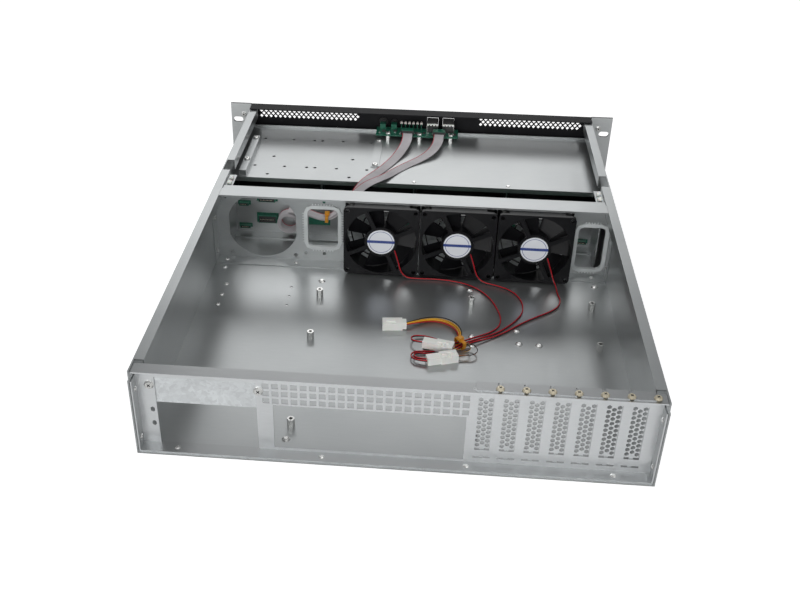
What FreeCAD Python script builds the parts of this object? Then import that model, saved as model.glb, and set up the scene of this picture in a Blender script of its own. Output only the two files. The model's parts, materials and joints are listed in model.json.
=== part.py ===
import FreeCAD, Part
import Sketcher
import math
import os
import re

# A 2U rackmount server case, lid off, with nothing mounted in it.
# Millimetres. X runs across the case, Y from the rear edge to the front, Z up from the floor's underside.
# Pieces are drawn with Y measured from the rear edge, and each is then placed so that the origin is
# under the middle of the whole object.

doc = FreeCAD.newDocument("rackmount_case")
sheet = doc.addObject("Spreadsheet::Sheet", "Sheet")
places = doc.addObject("App::VarSet", "Places")
probe = doc.addObject("App::VarSet", "Probe")
probe.addProperty("App::PropertyFloat", "answer")

SIZES = {
    # folded sheet tray
    "case_width": 430.0,
    "case_length": 567.0,
    "wall_height": 86.0,
    "gauge": 1.2,
    "sheet_gap": 0.2,
    "joggle_height": 76.0,
    "joggle_depth": 1.0,
    "rail_width": 9.2,
    "rail_lip": 12.0,
    "rail_rear_start": 17.0,
    "rail_rear_end": 376.0,
    "rail_front_start": 402.0,
    "rail_front_end": 556.0,
    # rear panel
    "panel_setback": 13.0,
    "rear_flange_edge": 1.5,
    "rear_panel_top": 84.2,
    "side_flange_drop": 1.5,
    "supply_left": -197.4,
    "supply_width": 84.2,
    "supply_top": 72.0,
    "window_left": -99.8,
    "window_width": 158.75,
    "window_bottom": 5.0,
    "window_height": 45.0,
    "vent_first": -105.2,
    "vent_pitch": 7.76,
    "vent_count": 22,
    "vent_rows": 3,
    "vent_low": 54.3,
    "vent_rise": 7.5,
    "vent_width": 5.6,
    "vent_height": 5.2,
    "slot_count": 7,
    "slot_first": 195.4,
    "slot_pitch": 20.32,
    "slot_width": 12.5,
    "slot_bottom": 16.0,
    "slot_top": 71.0,
    "tongue_slot_height": 8.2,
    "tongue_slot_width": 14.5,
    # slot covers and the plate over the supply opening
    "cover_gauge": 1.0,
    "cover_width": 18.4,
    "cover_shoulder": 17.2,
    "tongue_width": 3.5,
    "tongue_bottom": 5.0,
    "tab_edge": 4.0,
    "tab_right": 7.9,
    "cover_screw_offset": 9.6,
    "cover_screw_edge": 6.5,
    "hex_width": 3.6,
    "hex_column_pitch": 4.1,
    "hex_row_pitch": 4.74,
    "hex_rows": 11,
    "hex_low": 20.6,
    "blank_left": -205.0,
    "blank_right": -108.7,
    "blank_bottom": 45.4,
    "blank_top": 79.0,
    "blank_lip": 8.0,
    "blank_screw_left": -201.8,
    "blank_screw_right": -111.2,
    "blank_screw_height": 64.0,
    # fan wall and the beam on it
    "wall_rear": 329.3,
    "wall_top": 83.2,
    "wall_foot": 15.8,
    "wall_flange": 9.0,
    "fan_size": 80.0,
    "fan_depth": 25.0,
    "fan_height": 43.5,
    "fan_first": -30.3,
    "fan_pitch": 81.2,
    "fan_count": 3,
    "fan_bore": 38.0,
    "fan_hole_offset": 35.75,
    "fan_hole_radius": 2.15,
    "empty_place": -161.7,
    "empty_radius": 38.85,
    "empty_flat": 37.0,
    "passage_left_start": -112.9,
    "passage_left_end": -77.8,
    "passage_left_low": 19.4,
    "passage_left_high": 67.9,
    "passage_right_start": 178.5,
    "passage_right_end": 209.0,
    "passage_right_low": 8.5,
    "passage_right_high": 61.5,
    "passage_corner": 6.0,
    "trim_lining": 1.0,
    "trim_width": 3.0,
    "trim_thickness": 1.4,
    "beam_rear": 314.0,
    "beam_step": 331.0,
    "beam_front": 341.0,
    "beam_step_height": 84.4,
    "beam_rear_lip": 83.8,
    "beam_front_lip": 76.0,
    # fans
    "fan_plate": 4.0,
    "fan_corner": 4.0,
    "fan_corner_cut": 11.0,
    "fan_hub": 17.5,
    "fan_hub_plate": 3.0,
    "fan_strut": 4.4,
    "fan_post": 3.0,
    "post_length": 13.0,
    "bearing_clearance": 0.05,
    "rotor_radius": 17.0,
    "rotor_start": 3.4,
    "rotor_end": 22.0,
    "blade_count": 7,
    "blade_reach": 36.8,
    "blade_thickness": 1.5,
    "blade_middle": 12.7,
    "blade_root_half": 7.6,
    "blade_tip_half": 15.2,
    "blade_sweep": 4.0,
    "guard_wire": 1.4,
    # bay behind the front panel
    "bay_rear": 410.0,
    "bay_front": 558.0,
    "bay_top": 61.5,
    "bay_hem": 56.0,
    "bay_upstand": 64.0,
    "bay_hole_radius": 1.9,
    "channel_left": -203.0,
    "channel_width": 8.2,
    "channel_top": 68.0,
    "channel_start": 414.0,
    "channel_end": 514.0,
    "strip_left": -52.8,
    "strip_width": 9.8,
    "strip_start": 451.0,
    "strip_end": 528.5,
    "strip_rise": 1.4,
    # drive cage, carriers and backplane
    "cage_rear": 412.0,
    "ledge_height": 30.2,
    "ledge_gauge": 1.0,
    "ledge_width": 4.0,
    "tray_side_gap": 0.4,
    "tray_lift": 0.3,
    "tray_height": 27.0,
    "tray_wall": 1.4,
    "tray_rear": 415.0,
    "tray_front": 575.0,
    "bezel_depth": 8.0,
    "backplane_rear": 389.0,
    "backplane_top": 55.0,
    "backplane_foot": 15.0,
    "ear_start": 345.0,
    "ear_length": 27.0,
    "ear_top": 82.0,
    "ear_width": 8.5,
    "board_gauge": 1.6,
    "board_gap": 0.3,
    # front panel, rack ears and handles
    "front_gauge": 1.5,
    "front_top": 88.1,
    "front_flange": 18.0,
    "hole_size": 3.3,
    "hole_pitch": 6.04,
    "hole_columns": 21,
    "hole_rows": 4,
    "hole_low": 72.5,
    "hole_rise": 3.5,
    "hole_left": -202.0,
    "hole_right": 78.0,
    "rack_width": 482.6,
    "ear_gauge": 3.0,
    "ear_leg": 46.0,
    "ear_leg_gauge": 2.0,
    "ear_slot_offset": 232.55,
    "ear_slot_spacing": 44.45,
    "ear_slot_middle": 44.05,
    "ear_slot_radius": 3.5,
    "ear_slot_length": 12.5,
    "handle_offset": 225.0,
    "handle_low": 14.5,
    "handle_high": 73.6,
    "handle_reach": 32.0,
    "handle_radius": 4.0,
    "handle_bend": 10.0,
    # control board on spacers
    "control_left": -52.5,
    "control_right": 49.7,
    "control_rear": 533.0,
    "control_front": 558.0,
    "control_spacer": 4.9,
    "spacer_row": 537.0,
    "socket_first": 10.3,
    "socket_pitch": 19.6,
    "socket_width": 14.4,
    "socket_height": 11.4,
    "socket_wall": 0.8,
    "socket_rear": 547.0,
    "button_height": 72.0,
    "power_place": -45.0,
    "power_radius": 4.0,
    "reset_place": -31.0,
    "reset_radius": 2.5,
    "button_gap": 0.1,
    "button_proud": 2.5,
    "button_travel": 1.2,
    "switch_front": 560.3,
    # fasteners
    "pan_head_radius": 3.2,
    "pan_head_height": 2.0,
    "fan_screw_head": 2.6,
    "screw_radius": 1.45,
    "screw_play": 0.2,
    "large_head_radius": 4.0,
    "standoff_radius": 3.0,
    "standoff_height": 8.5,
    "clinch_radius": 3.6,
    "clinch_height": 1.8,
    "rivet_radius": 2.4,
    "rivet_height": 0.9,
    # wiring
    "lead_diameter": 1.75,
    "harness_diameter": 3.6,
    "ribbon_width": 12.7,
    "ribbon_thickness": 0.9,
    "coil_radius": 13.6,
    "coil_hollow": 8.4,
    "tie_width": 3.6,
    "tie_band": 1.0,
}

PLACES = {
    "half_out": "case_width / 2",
    "half_in": "case_width / 2 - gauge",
    "neck_out": "case_width / 2 - joggle_depth",
    "neck_in": "case_width / 2 - joggle_depth - gauge",
    "rail_in": "case_width / 2 - joggle_depth - rail_width",
    "panel_half": "case_width / 2 - gauge - sheet_gap",
    "panel_neck": "case_width / 2 - joggle_depth - gauge - sheet_gap",
    "panel_inner": "panel_setback + gauge",
    "side_flange_top": "joggle_height - side_flange_drop",
    "wall_front": "wall_rear + gauge",
    "fan_rear": "wall_rear - fan_depth",
    "bay_under": "bay_top - gauge",
    "column_pitch": "(2 * (case_width / 2 - 2 * gauge - sheet_gap) + gauge) / 4",
    "column_clear": "(2 * (case_width / 2 - 2 * gauge - sheet_gap) + gauge) / 4 - gauge",
    "tray_half": "((2 * (case_width / 2 - 2 * gauge - sheet_gap) + gauge) / 4 - gauge) / 2 - tray_side_gap",
    "lower_tray": "2 * gauge + tray_lift",
    "upper_tray": "ledge_height + ledge_gauge + tray_lift",
    "board_rear": "backplane_rear + gauge + board_gap",
    "ear_front": "case_length + ear_gauge",
    "control_under": "bay_top + control_spacer",
    "control_top": "bay_top + control_spacer + board_gauge",
    "overall_length": "case_length + ear_gauge + handle_reach",
}

for row, (name, value) in enumerate(SIZES.items(), start=1):
    sheet.set("A%d" % row, name)
    sheet.set("B%d" % row, str(value))
    sheet.setAlias("B%d" % row, name)
doc.recompute()


def bind(formula):
    """The formula with each name turned into its cell or its derived place."""
    def swap(match):
        word = match.group(0)
        if word in SIZES:
            return "Sheet." + word
        if word in PLACES:
            return "Places." + word
        return word
    return re.sub(r"[A-Za-z_][A-Za-z_0-9]*", swap, str(formula))


for name, formula in PLACES.items():
    places.addProperty("App::PropertyFloat", name)
    places.setExpression(name, bind(formula))
doc.recompute()


def number(formula):
    """The present value of a formula, for geometry that is drawn once."""
    if isinstance(formula, (int, float)):
        return float(formula)
    probe.setExpression("answer", bind(formula))
    probe.recompute()
    return probe.answer


finished = []


def finish(feature, name, x="0", y="0", z="0"):
    """Name a sub-part and place it, with the origin under the middle of the object."""
    feature.Label = name
    feature.setExpression("Placement.Base.x", bind(x))
    feature.setExpression("Placement.Base.y", bind("(%s) - overall_length / 2" % y))
    feature.setExpression("Placement.Base.z", bind(z))
    finished.append(feature)
    return feature


# Helpers that draw

PLANES = {"XY": ("XY_Plane", "", False), "XZ": ("XZ_Plane", "-", True), "YZ": ("YZ_Plane", "", False)}


def rectangle(u_low, w_low, u_high, w_high):
    return [(u_low, w_low), (u_high, w_low), (u_high, w_high), (u_low, w_high)]


def mirrored(points):
    """A half outline, given upwards on the +X side, closed by its mirror image."""
    return points + [("-(%s)" % u, w) for u, w in reversed(points)]


def facets(u, w, radius, sides):
    """A round outline as a regular polygon whose flats lie on the circle."""
    reach = 1 / math.cos(math.pi / sides)
    angles = [math.pi * (2 * i + 1) / sides for i in range(sides)]
    return [("%s + (%s) * %.6f" % (u, radius, reach * math.cos(a)),
             "%s + (%s) * %.6f" % (w, radius, reach * math.sin(a))) for a in angles]


def sketch(body, plane, start, loops=(), circles=()):
    """Closed loops and circles, each point held by bound distances from the body's origin."""
    role, sign, _ = PLANES[plane]
    support = next(item for item in body.Origin.OriginFeatures if item.Role == role)
    drawing = body.newObject("Sketcher::SketchObject", body.Name + "_sketch")
    drawing.AttachmentSupport = (support, [""])
    drawing.MapMode = "FlatFace"
    drawing.setExpression("AttachmentOffset.Base.z", bind("%s(%s)" % (sign, start)))
    bound = []
    for corners in loops:
        spots = [FreeCAD.Vector(number(u), number(w), 0) for u, w in corners]
        first = drawing.GeometryCount
        lines = [Part.LineSegment(a, b) for a, b in zip(spots, spots[1:] + spots[:1])]
        drawing.addGeometry(lines, False)
        for i, (u, w) in enumerate(corners):
            following = first + (i + 1) % len(corners)
            bound.append((Sketcher.Constraint("Coincident", first + i, 2, following, 1), None))
            bound.append((Sketcher.Constraint("DistanceX", -1, 1, first + i, 1, spots[i].x), u))
            bound.append((Sketcher.Constraint("DistanceY", -1, 1, first + i, 1, spots[i].y), w))
    for u, w, radius in circles:
        centre = FreeCAD.Vector(number(u), number(w), 0)
        item = drawing.addGeometry(Part.Circle(centre, FreeCAD.Vector(0, 0, 1), number(radius)), False)
        bound.append((Sketcher.Constraint("DistanceX", -1, 1, item, 3, centre.x), u))
        bound.append((Sketcher.Constraint("DistanceY", -1, 1, item, 3, centre.y), w))
        bound.append((Sketcher.Constraint("Radius", item, number(radius)), radius))
    drawing.addConstraint([constraint for constraint, _ in bound])
    for index, (_, formula) in enumerate(bound):
        if formula is not None:
            drawing.setExpression("Constraints[%d]" % index, bind(formula))
    return drawing


def new_body(name):
    return doc.addObject("PartDesign::Body", name)


def pad(body, plane, start, length, loops=(), circles=()):
    feature = body.newObject("PartDesign::Pad", body.Name + "_pad")
    feature.Profile = sketch(body, plane, start, loops, circles)
    feature.setExpression("Length", bind(length))
    feature.Reversed = PLANES[plane][2]
    return feature


def pocket(body, plane, start, length, loops=(), circles=()):
    feature = body.newObject("PartDesign::Pocket", body.Name + "_pocket")
    feature.Profile = sketch(body, plane, start, loops, circles)
    feature.setExpression("Length", bind(length))
    feature.Reversed = not PLANES[plane][2]
    return feature


def box(name, low, high):
    """A block between two corners, all six distances bound."""
    feature = doc.addObject("Part::Box", name)
    for axis, side, start, end in zip("xyz", ("Length", "Width", "Height"), low, high):
        feature.setExpression("Placement.Base." + axis, bind(start))
        feature.setExpression(side, bind("(%s) - (%s)" % (end, start)))
    return feature


def cylinder(name, base, radius, height, axis="z"):
    feature = doc.addObject("Part::Cylinder", name)
    feature.setExpression("Radius", bind(radius))
    feature.setExpression("Height", bind(height))
    if axis == "y":
        feature.Placement.Rotation = FreeCAD.Rotation(FreeCAD.Vector(1, 0, 0), -90)
    for letter, start in zip("xyz", base):
        feature.setExpression("Placement.Base." + letter, bind(start))
    return feature


def fuse(name, pieces):
    feature = doc.addObject("Part::MultiFuse", name)
    feature.Shapes = pieces
    feature.Refine = True
    return feature


def flat(plane, start, u, w):
    """A point of a drawing plane in space."""
    if plane == "XZ":
        return FreeCAD.Vector(u, start, w)
    if plane == "XY":
        return FreeCAD.Vector(u, w, start)
    return FreeCAD.Vector(start, u, w)


NORMALS = {"XY": FreeCAD.Vector(0, 0, 1), "XZ": FreeCAD.Vector(0, 1, 0), "YZ": FreeCAD.Vector(1, 0, 0)}


class Stencil:
    """Outlines and holes of a punched sheet, drawn on one plane."""

    def __init__(self, plane, start):
        self.plane = plane
        self.start = number(start)
        self.wires = []

    def point(self, u, w):
        return flat(self.plane, self.start, u, w)

    def polygon(self, points):
        spots = [self.point(number(u), number(w)) for u, w in points]
        self.wires.append(Part.makePolygon(spots + spots[:1]))

    def regular(self, u, w, across, sides, turn):
        """A regular hole, given its width across flats and its first corner's angle in degrees."""
        reach = across / 2 / math.cos(math.pi / sides)
        angles = [math.radians(turn + 360.0 * i / sides) for i in range(sides)]
        self.polygon([(u + reach * math.cos(a), w + reach * math.sin(a)) for a in angles])

    def drilled(self, u, w, radius):
        """A small round hole, with eight flats that lie on its circle."""
        self.regular(number(u), number(w), 2 * number(radius), 8, 22.5)

    def eased(self, u_low, w_low, u_high, w_high, radius):
        """A rectangle whose round corners are drawn as two flats each."""
        u_low, w_low, u_high, w_high, radius = map(number, (u_low, w_low, u_high, w_high, radius))
        corners = ((u_high - radius, w_low + radius, -90), (u_high - radius, w_high - radius, 0),
                   (u_low + radius, w_high - radius, 90), (u_low + radius, w_low + radius, 180))
        self.polygon([(u + radius * math.cos(math.radians(angle + step)),
                       w + radius * math.sin(math.radians(angle + step)))
                      for u, w, angle in corners for step in (0, 45, 90)])

    def circle(self, u, w, radius):
        centre = self.point(number(u), number(w))
        self.wires.append(Part.Wire([Part.Circle(centre, NORMALS[self.plane], number(radius)).toShape()]))

    def rounded(self, u_low, w_low, u_high, w_high, radius):
        """A rectangle with round corners; a slot when the radius is half its height."""
        u_low, w_low, u_high, w_high, radius = map(number, (u_low, w_low, u_high, w_high, radius))
        corners = ((u_high - radius, w_low + radius, -90), (u_high - radius, w_high - radius, 0),
                   (u_low + radius, w_high - radius, 90), (u_low + radius, w_low + radius, 180))
        edges = []
        previous = None
        first = None
        for u, w, angle in corners:
            start, middle, end = [self.point(u + radius * math.cos(math.radians(angle + step)),
                                             w + radius * math.sin(math.radians(angle + step)))
                                  for step in (0, 45, 90)]
            if previous is not None and previous.distanceToPoint(start) > 1e-6:
                edges.append(Part.LineSegment(previous, start).toShape())
            edges.append(Part.Arc(start, middle, end).toShape())
            first = first or start
            previous = end
        if previous.distanceToPoint(first) > 1e-6:
            edges.append(Part.LineSegment(previous, first).toShape())
        self.wires.append(Part.Wire(edges))

    def sheet(self, name, thickness):
        """The outline, which was drawn first, less the holes, as a sheet of bound thickness."""
        face = doc.addObject("Part::Feature", name + "_outline")
        face.Shape = Part.makeFace(self.wires, "Part::FaceMakerBullseye")
        feature = doc.addObject("Part::Extrusion", name)
        feature.Base = face
        feature.DirMode = "Custom"
        feature.Dir = NORMALS[self.plane]
        feature.Solid = True
        feature.setExpression("LengthFwd", bind(thickness))
        return feature


def ring(radius, height, sides):
    """A regular outline, level at a height, whose flats lie on the circle."""
    reach = radius / math.cos(math.pi / sides)
    spots = [FreeCAD.Vector(reach * math.cos(2 * math.pi * i / sides), reach * math.sin(2 * math.pi * i / sides),
                            height) for i in range(sides)]
    return Part.makePolygon(spots + spots[:1])


def turned(rings, sides=8):
    """A small turned piece with few flats: rings of radius and height, joined from the lowest up."""
    return Part.makeLoft([ring(radius, height, sides) for radius, height in rings], True, True)


UP = FreeCAD.Vector(0, 0, 1)
REARWARD = FreeCAD.Vector(0, -1, 0)
FORWARD = FreeCAD.Vector(0, 1, 0)
LEFTWARD = FreeCAD.Vector(-1, 0, 0)
RIGHTWARD = FreeCAD.Vector(1, 0, 0)


def copies(shape, spots):
    """Copies of a turned piece, each standing at a place and pointing along a direction."""
    out = []
    for x, y, z, direction in spots:
        turn = FreeCAD.Rotation(UP, direction)
        copy = shape.copy()
        copy.Placement = FreeCAD.Placement(FreeCAD.Vector(number(x), number(y), number(z)), turn)
        out.append(copy)
    return out


def group(name, shapes):
    """Separate solids that share one sub-part."""
    feature = doc.addObject("Part::Feature", name)
    feature.Shape = Part.makeCompound(shapes)
    return finish(feature, name)


def screw(head_radius, length):
    """A pan-head screw that points down from its head's underside."""
    head = number(head_radius)
    height = number("pan_head_height")
    shank = number("screw_radius")
    reach = number(length)
    crown = turned([(head, 0), (head, height * 0.45), (head * 0.72, height)])
    return crown.fuse(turned([(shank, -reach), (shank, 0)])).removeSplitter()


# The folded tray

def base_tray():
    body = new_body("base_tray")
    ease = "gauge * %.4f" % math.tan(math.radians(22.5))
    side = [("half_out", "0"), ("half_out", "joggle_height"), ("neck_out", "joggle_height + joggle_depth"),
            ("neck_out", "wall_height"), ("rail_in", "wall_height"), ("rail_in", "wall_height - rail_lip"),
            ("rail_in + gauge", "wall_height - rail_lip"), ("rail_in + gauge", "wall_height - gauge"),
            ("neck_in", "wall_height - gauge"), ("neck_in", "joggle_height + joggle_depth - " + ease),
            ("half_in", "joggle_height - " + ease), ("half_in", "gauge")]
    pad(body, "XZ", "0", "case_length", [mirrored(side)])
    above = rectangle("-neck_in", "wall_height - rail_lip - gauge", "neck_in", "wall_height + gauge")
    for start, end in (("0", "rail_rear_start"), ("rail_rear_end", "rail_front_start"),
                       ("rail_front_end", "case_length")):
        pocket(body, "XZ", start, "(%s) - (%s)" % (end, start), [above])
    drilled = [facets("-123", y, "screw_radius", 8) for y in ("237", "254.5", "272.5")]
    pocket(body, "XY", "0", "gauge", drilled)
    finish(body, "base_tray")


# The rear panel: a pan with openings, and flanges folded to the rear

def cover_centre(index):
    return "slot_first - %d * slot_pitch" % index


def rear_panel():
    pan = Stencil("XZ", "panel_setback")
    pan.polygon(mirrored([("panel_half", "gauge"), ("panel_half", "side_flange_top"),
                          ("panel_neck", "side_flange_top"), ("panel_neck", "rear_panel_top")]))
    pan.polygon(rectangle("supply_left", "2 * gauge", "supply_left + supply_width", "supply_top"))
    pan.polygon(rectangle("window_left", "window_bottom", "window_left + window_width",
                          "window_bottom + window_height"))
    half_width = number("vent_width / 2")
    half_height = number("vent_height / 2")
    for row in range(int(number("vent_rows"))):
        for column in range(int(number("vent_count"))):
            u = number("vent_first + %d * vent_pitch" % column)
            w = number("vent_low + %d * vent_rise" % row)
            pan.polygon(rectangle(u - half_width, w - half_height, u + half_width, w + half_height))
    for index in range(int(number("slot_count"))):
        centre = number(cover_centre(index))
        half = number("slot_width / 2")
        pan.polygon(rectangle(centre - half, "slot_bottom", centre + half, "slot_top"))
        half = number("tongue_slot_width / 2")
        low = number("tongue_slot_height")
        pan.polygon(rectangle(centre - half, low - 0.9, centre + half, low + 0.9))
    for place in ("blank_screw_left", "blank_screw_right"):
        pan.drilled(place, "blank_screw_height", "screw_radius + screw_play")
    for height in ("38", "23.5"):
        pan.eased("blank_screw_left - 1.2", height + " - 2.6", "blank_screw_left + 2.4", height + " + 2.6", "1.7")
    shelf = Stencil("XY", "rear_panel_top - gauge")
    shelf.polygon(rectangle("-panel_neck", "rear_flange_edge", "panel_neck", "panel_setback"))
    for index in range(-1, int(number("slot_count"))):
        place = cover_centre(index) + " + cover_screw_offset"
        if index < 0:
            place = "window_left + window_width + 5"
        shelf.drilled(place, "cover_screw_edge", "screw_radius + screw_play")
    pieces = [pan.sheet("rear_pan", "gauge"), shelf.sheet("rear_shelf", "gauge")]
    pieces.append(box("rear_foot", ("-panel_half", "rear_flange_edge", "gauge"),
                      ("panel_half", "panel_setback", "2 * gauge")))
    for name, low, high in (("left", "-panel_half", "-panel_half + gauge"),
                            ("right", "panel_half - gauge", "panel_half")):
        pieces.append(box("rear_side_" + name, (low, "rear_flange_edge", "gauge"),
                          (high, "panel_setback", "side_flange_top")))
    finish(fuse("rear_panel", pieces), "rear_panel")


def psu_blank_plate():
    body = new_body("psu_blank_plate")
    profile = [("panel_inner", "blank_bottom"), ("panel_inner + blank_lip", "blank_bottom"),
               ("panel_inner + blank_lip", "blank_bottom + cover_gauge"),
               ("panel_inner + cover_gauge", "blank_bottom + cover_gauge"),
               ("panel_inner + cover_gauge", "blank_top"), ("panel_inner", "blank_top")]
    pad(body, "YZ", "blank_left", "blank_right - blank_left", [profile])
    holes = [facets(place, "blank_screw_height", "screw_radius + screw_play", 8)
             for place in ("blank_screw_left", "blank_screw_right")]
    pocket(body, "XZ", "panel_inner", "cover_gauge", holes)
    finish(body, "psu_blank_plate")


def slot_cover(index):
    """A perforated blank with a tongue below and a tab folded over the panel's top."""
    name = "slot_cover_%d" % (index + 1)
    blade = Stencil("XZ", "panel_inner")
    blade.polygon(mirrored([("tongue_width / 2", "tongue_bottom"), ("tongue_width / 2", "cover_shoulder"),
                            ("cover_width / 2", "cover_shoulder"),
                            ("cover_width / 2", "rear_panel_top + cover_gauge")]))
    rows = int(number("hex_rows"))
    for column in (-1, 0, 1):
        for row in range(rows if column else rows - 1):
            height = number("hex_low + hex_row_pitch * %s" % (row + (0 if column else 0.5)))
            blade.regular(column * number("hex_column_pitch"), height, number("hex_width"), 6, 30)
    tab = box(name + "_tab", ("-cover_width / 2", "tab_edge", "rear_panel_top"),
              ("tab_right", "panel_inner", "rear_panel_top + cover_gauge"))
    finish(fuse(name, [blade.sheet(name + "_blade", "cover_gauge"), tab]), name, x=cover_centre(index))


# The fan wall, its edge trims and the beam that stiffens it

def fan_centre(index):
    return "fan_first + %d * fan_pitch" % index


def hole_corners(centre):
    """The four screw places round a fan's axis."""
    reach = number("fan_hole_offset")
    return [(number(centre) + reach * a, number("fan_height") + reach * b) for a in (-1, 1) for b in (-1, 1)]


PASSAGES = (("passage_left_start", "passage_left_low", "passage_left_end", "passage_left_high"),
            ("passage_right_start", "passage_right_low", "passage_right_end", "passage_right_high"))


def fan_wall():
    """The folded wall, given as four lengths that meet face to face between its openings."""
    plate = Stencil("XZ", "wall_rear")
    plate.polygon(mirrored([("panel_half", "gauge"), ("panel_half", "wall_height - rail_lip - sheet_gap"),
                            ("rail_in - sheet_gap", "wall_height - rail_lip - sheet_gap"),
                            ("rail_in - sheet_gap", "wall_top")]))
    centre = number("empty_place")
    height = number("fan_height")
    radius = number("empty_radius")
    side = number("empty_flat")
    rise = math.sqrt(radius ** 2 - side ** 2)
    corners = [plate.point(centre + a * side, height + b * rise) for a, b in ((1, -1), (1, 1), (-1, 1), (-1, -1))]
    plate.wires.append(Part.Wire([
        Part.LineSegment(corners[0], corners[1]).toShape(),
        Part.Arc(corners[1], plate.point(centre, height + radius), corners[2]).toShape(),
        Part.LineSegment(corners[2], corners[3]).toShape(),
        Part.Arc(corners[3], plate.point(centre, height - radius), corners[0]).toShape()]))
    fans = [fan_centre(index) for index in range(int(number("fan_count")))]
    for place in fans:
        plate.regular(number(place), number("fan_height"), number("2 * (fan_bore + screw_play)"), 28, 0)
    for place in fans:
        for u, w in hole_corners(place):
            plate.drilled(u, w, "fan_hole_radius")
    for u, w in hole_corners("empty_place"):
        plate.circle(u, w, "fan_hole_radius")
    for low_u, low_w, high_u, high_w in PASSAGES:
        plate.eased(low_u, low_w, high_u, high_w, "passage_corner")
    for u, w in (("passage_left_start - 1.8", "11"), ("-94", "11"), ("-94", "75.4"), ("-201", "76.5")):
        plate.drilled(u, w, "bay_hole_radius")
    pieces = [plate.sheet("wall_plate", "gauge")]
    pieces.append(box("wall_foot_flange", ("-panel_half", "wall_rear - wall_foot", "gauge"),
                      ("panel_half", "wall_rear", "2 * gauge")))
    pieces.append(box("wall_head_flange", ("-rail_in + sheet_gap", "wall_front", "wall_top - gauge"),
                      ("rail_in - sheet_gap", "wall_front + wall_flange", "wall_top")))
    for name, low, high in (("left", "-panel_half", "-panel_half + gauge"),
                            ("right", "panel_half - gauge", "panel_half")):
        pieces.append(box("wall_side_" + name, (low, "wall_rear - wall_foot", "gauge"),
                          (high, "wall_rear", "wall_height - rail_lip - sheet_gap")))
    wall = fuse("whole_fan_wall", pieces)
    seams = ["-panel_half - 1", "(empty_place + empty_radius + %s) / 2" % PASSAGES[0][0],
             "(%s + %s - fan_bore - screw_play) / 2" % (PASSAGES[0][2], fan_centre(0)),
             "(%s + fan_bore + screw_play + %s) / 2" % (fan_centre(2), PASSAGES[1][0]), "panel_half + 1"]
    lengths = doc.addObject("Part::Compound", "fan_wall")
    for low, high in zip(seams, seams[1:]):
        length = doc.addObject("Part::Common", "wall_length")
        length.Base = wall
        length.Tool = box("wall_zone", (low, "wall_rear - wall_foot - 1", "0"),
                          (high, "wall_front + wall_flange + 1", "wall_top + 1"))
        lengths.Links = lengths.Links + [length]
    finish(lengths, "fan_wall")


def passage_trim(name, passage):
    """Edge trim: a ring on the sheet's rear face and a lining through the passage."""
    low_u, low_w, high_u, high_w = passage
    lining = "trim_lining"
    corner = "passage_corner - trim_lining"
    rim = Stencil("XZ", "wall_rear - trim_thickness")
    rim.eased(low_u + " - trim_width", low_w + " - trim_width", high_u + " + trim_width",
                 high_w + " + trim_width", "passage_corner + trim_width")
    rim.eased("%s + %s" % (low_u, lining), "%s + %s" % (low_w, lining), "%s - %s" % (high_u, lining),
                 "%s - %s" % (high_w, lining), corner)
    lip = Stencil("XZ", "wall_rear")
    lip.eased(low_u, low_w, high_u, high_w, "passage_corner")
    lip.eased("%s + %s" % (low_u, lining), "%s + %s" % (low_w, lining), "%s - %s" % (high_u, lining),
                 "%s - %s" % (high_w, lining), corner)
    pieces = [rim.sheet(name + "_rim", "trim_thickness"), lip.sheet(name + "_lip", "gauge + trim_thickness")]
    finish(fuse(name, pieces), name)


def cross_beam():
    body = new_body("cross_beam")
    profile = [("beam_rear", "beam_rear_lip"), ("beam_rear", "wall_height"), ("beam_step", "wall_height"),
               ("beam_step", "beam_step_height"), ("beam_front", "beam_step_height"),
               ("beam_front", "beam_front_lip"), ("beam_front - gauge", "beam_front_lip"),
               ("beam_front - gauge", "beam_step_height - gauge"),
               ("beam_step - gauge", "beam_step_height - gauge"), ("beam_step - gauge", "wall_height - gauge"),
               ("beam_rear + gauge", "wall_height - gauge"), ("beam_rear + gauge", "beam_rear_lip")]
    pad(body, "YZ", "-rail_in + sheet_gap", "2 * (rail_in - sheet_gap)", [profile])
    finish(body, "cross_beam")


# Fans: each drawn about its own axis, with Y from its rear face

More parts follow.
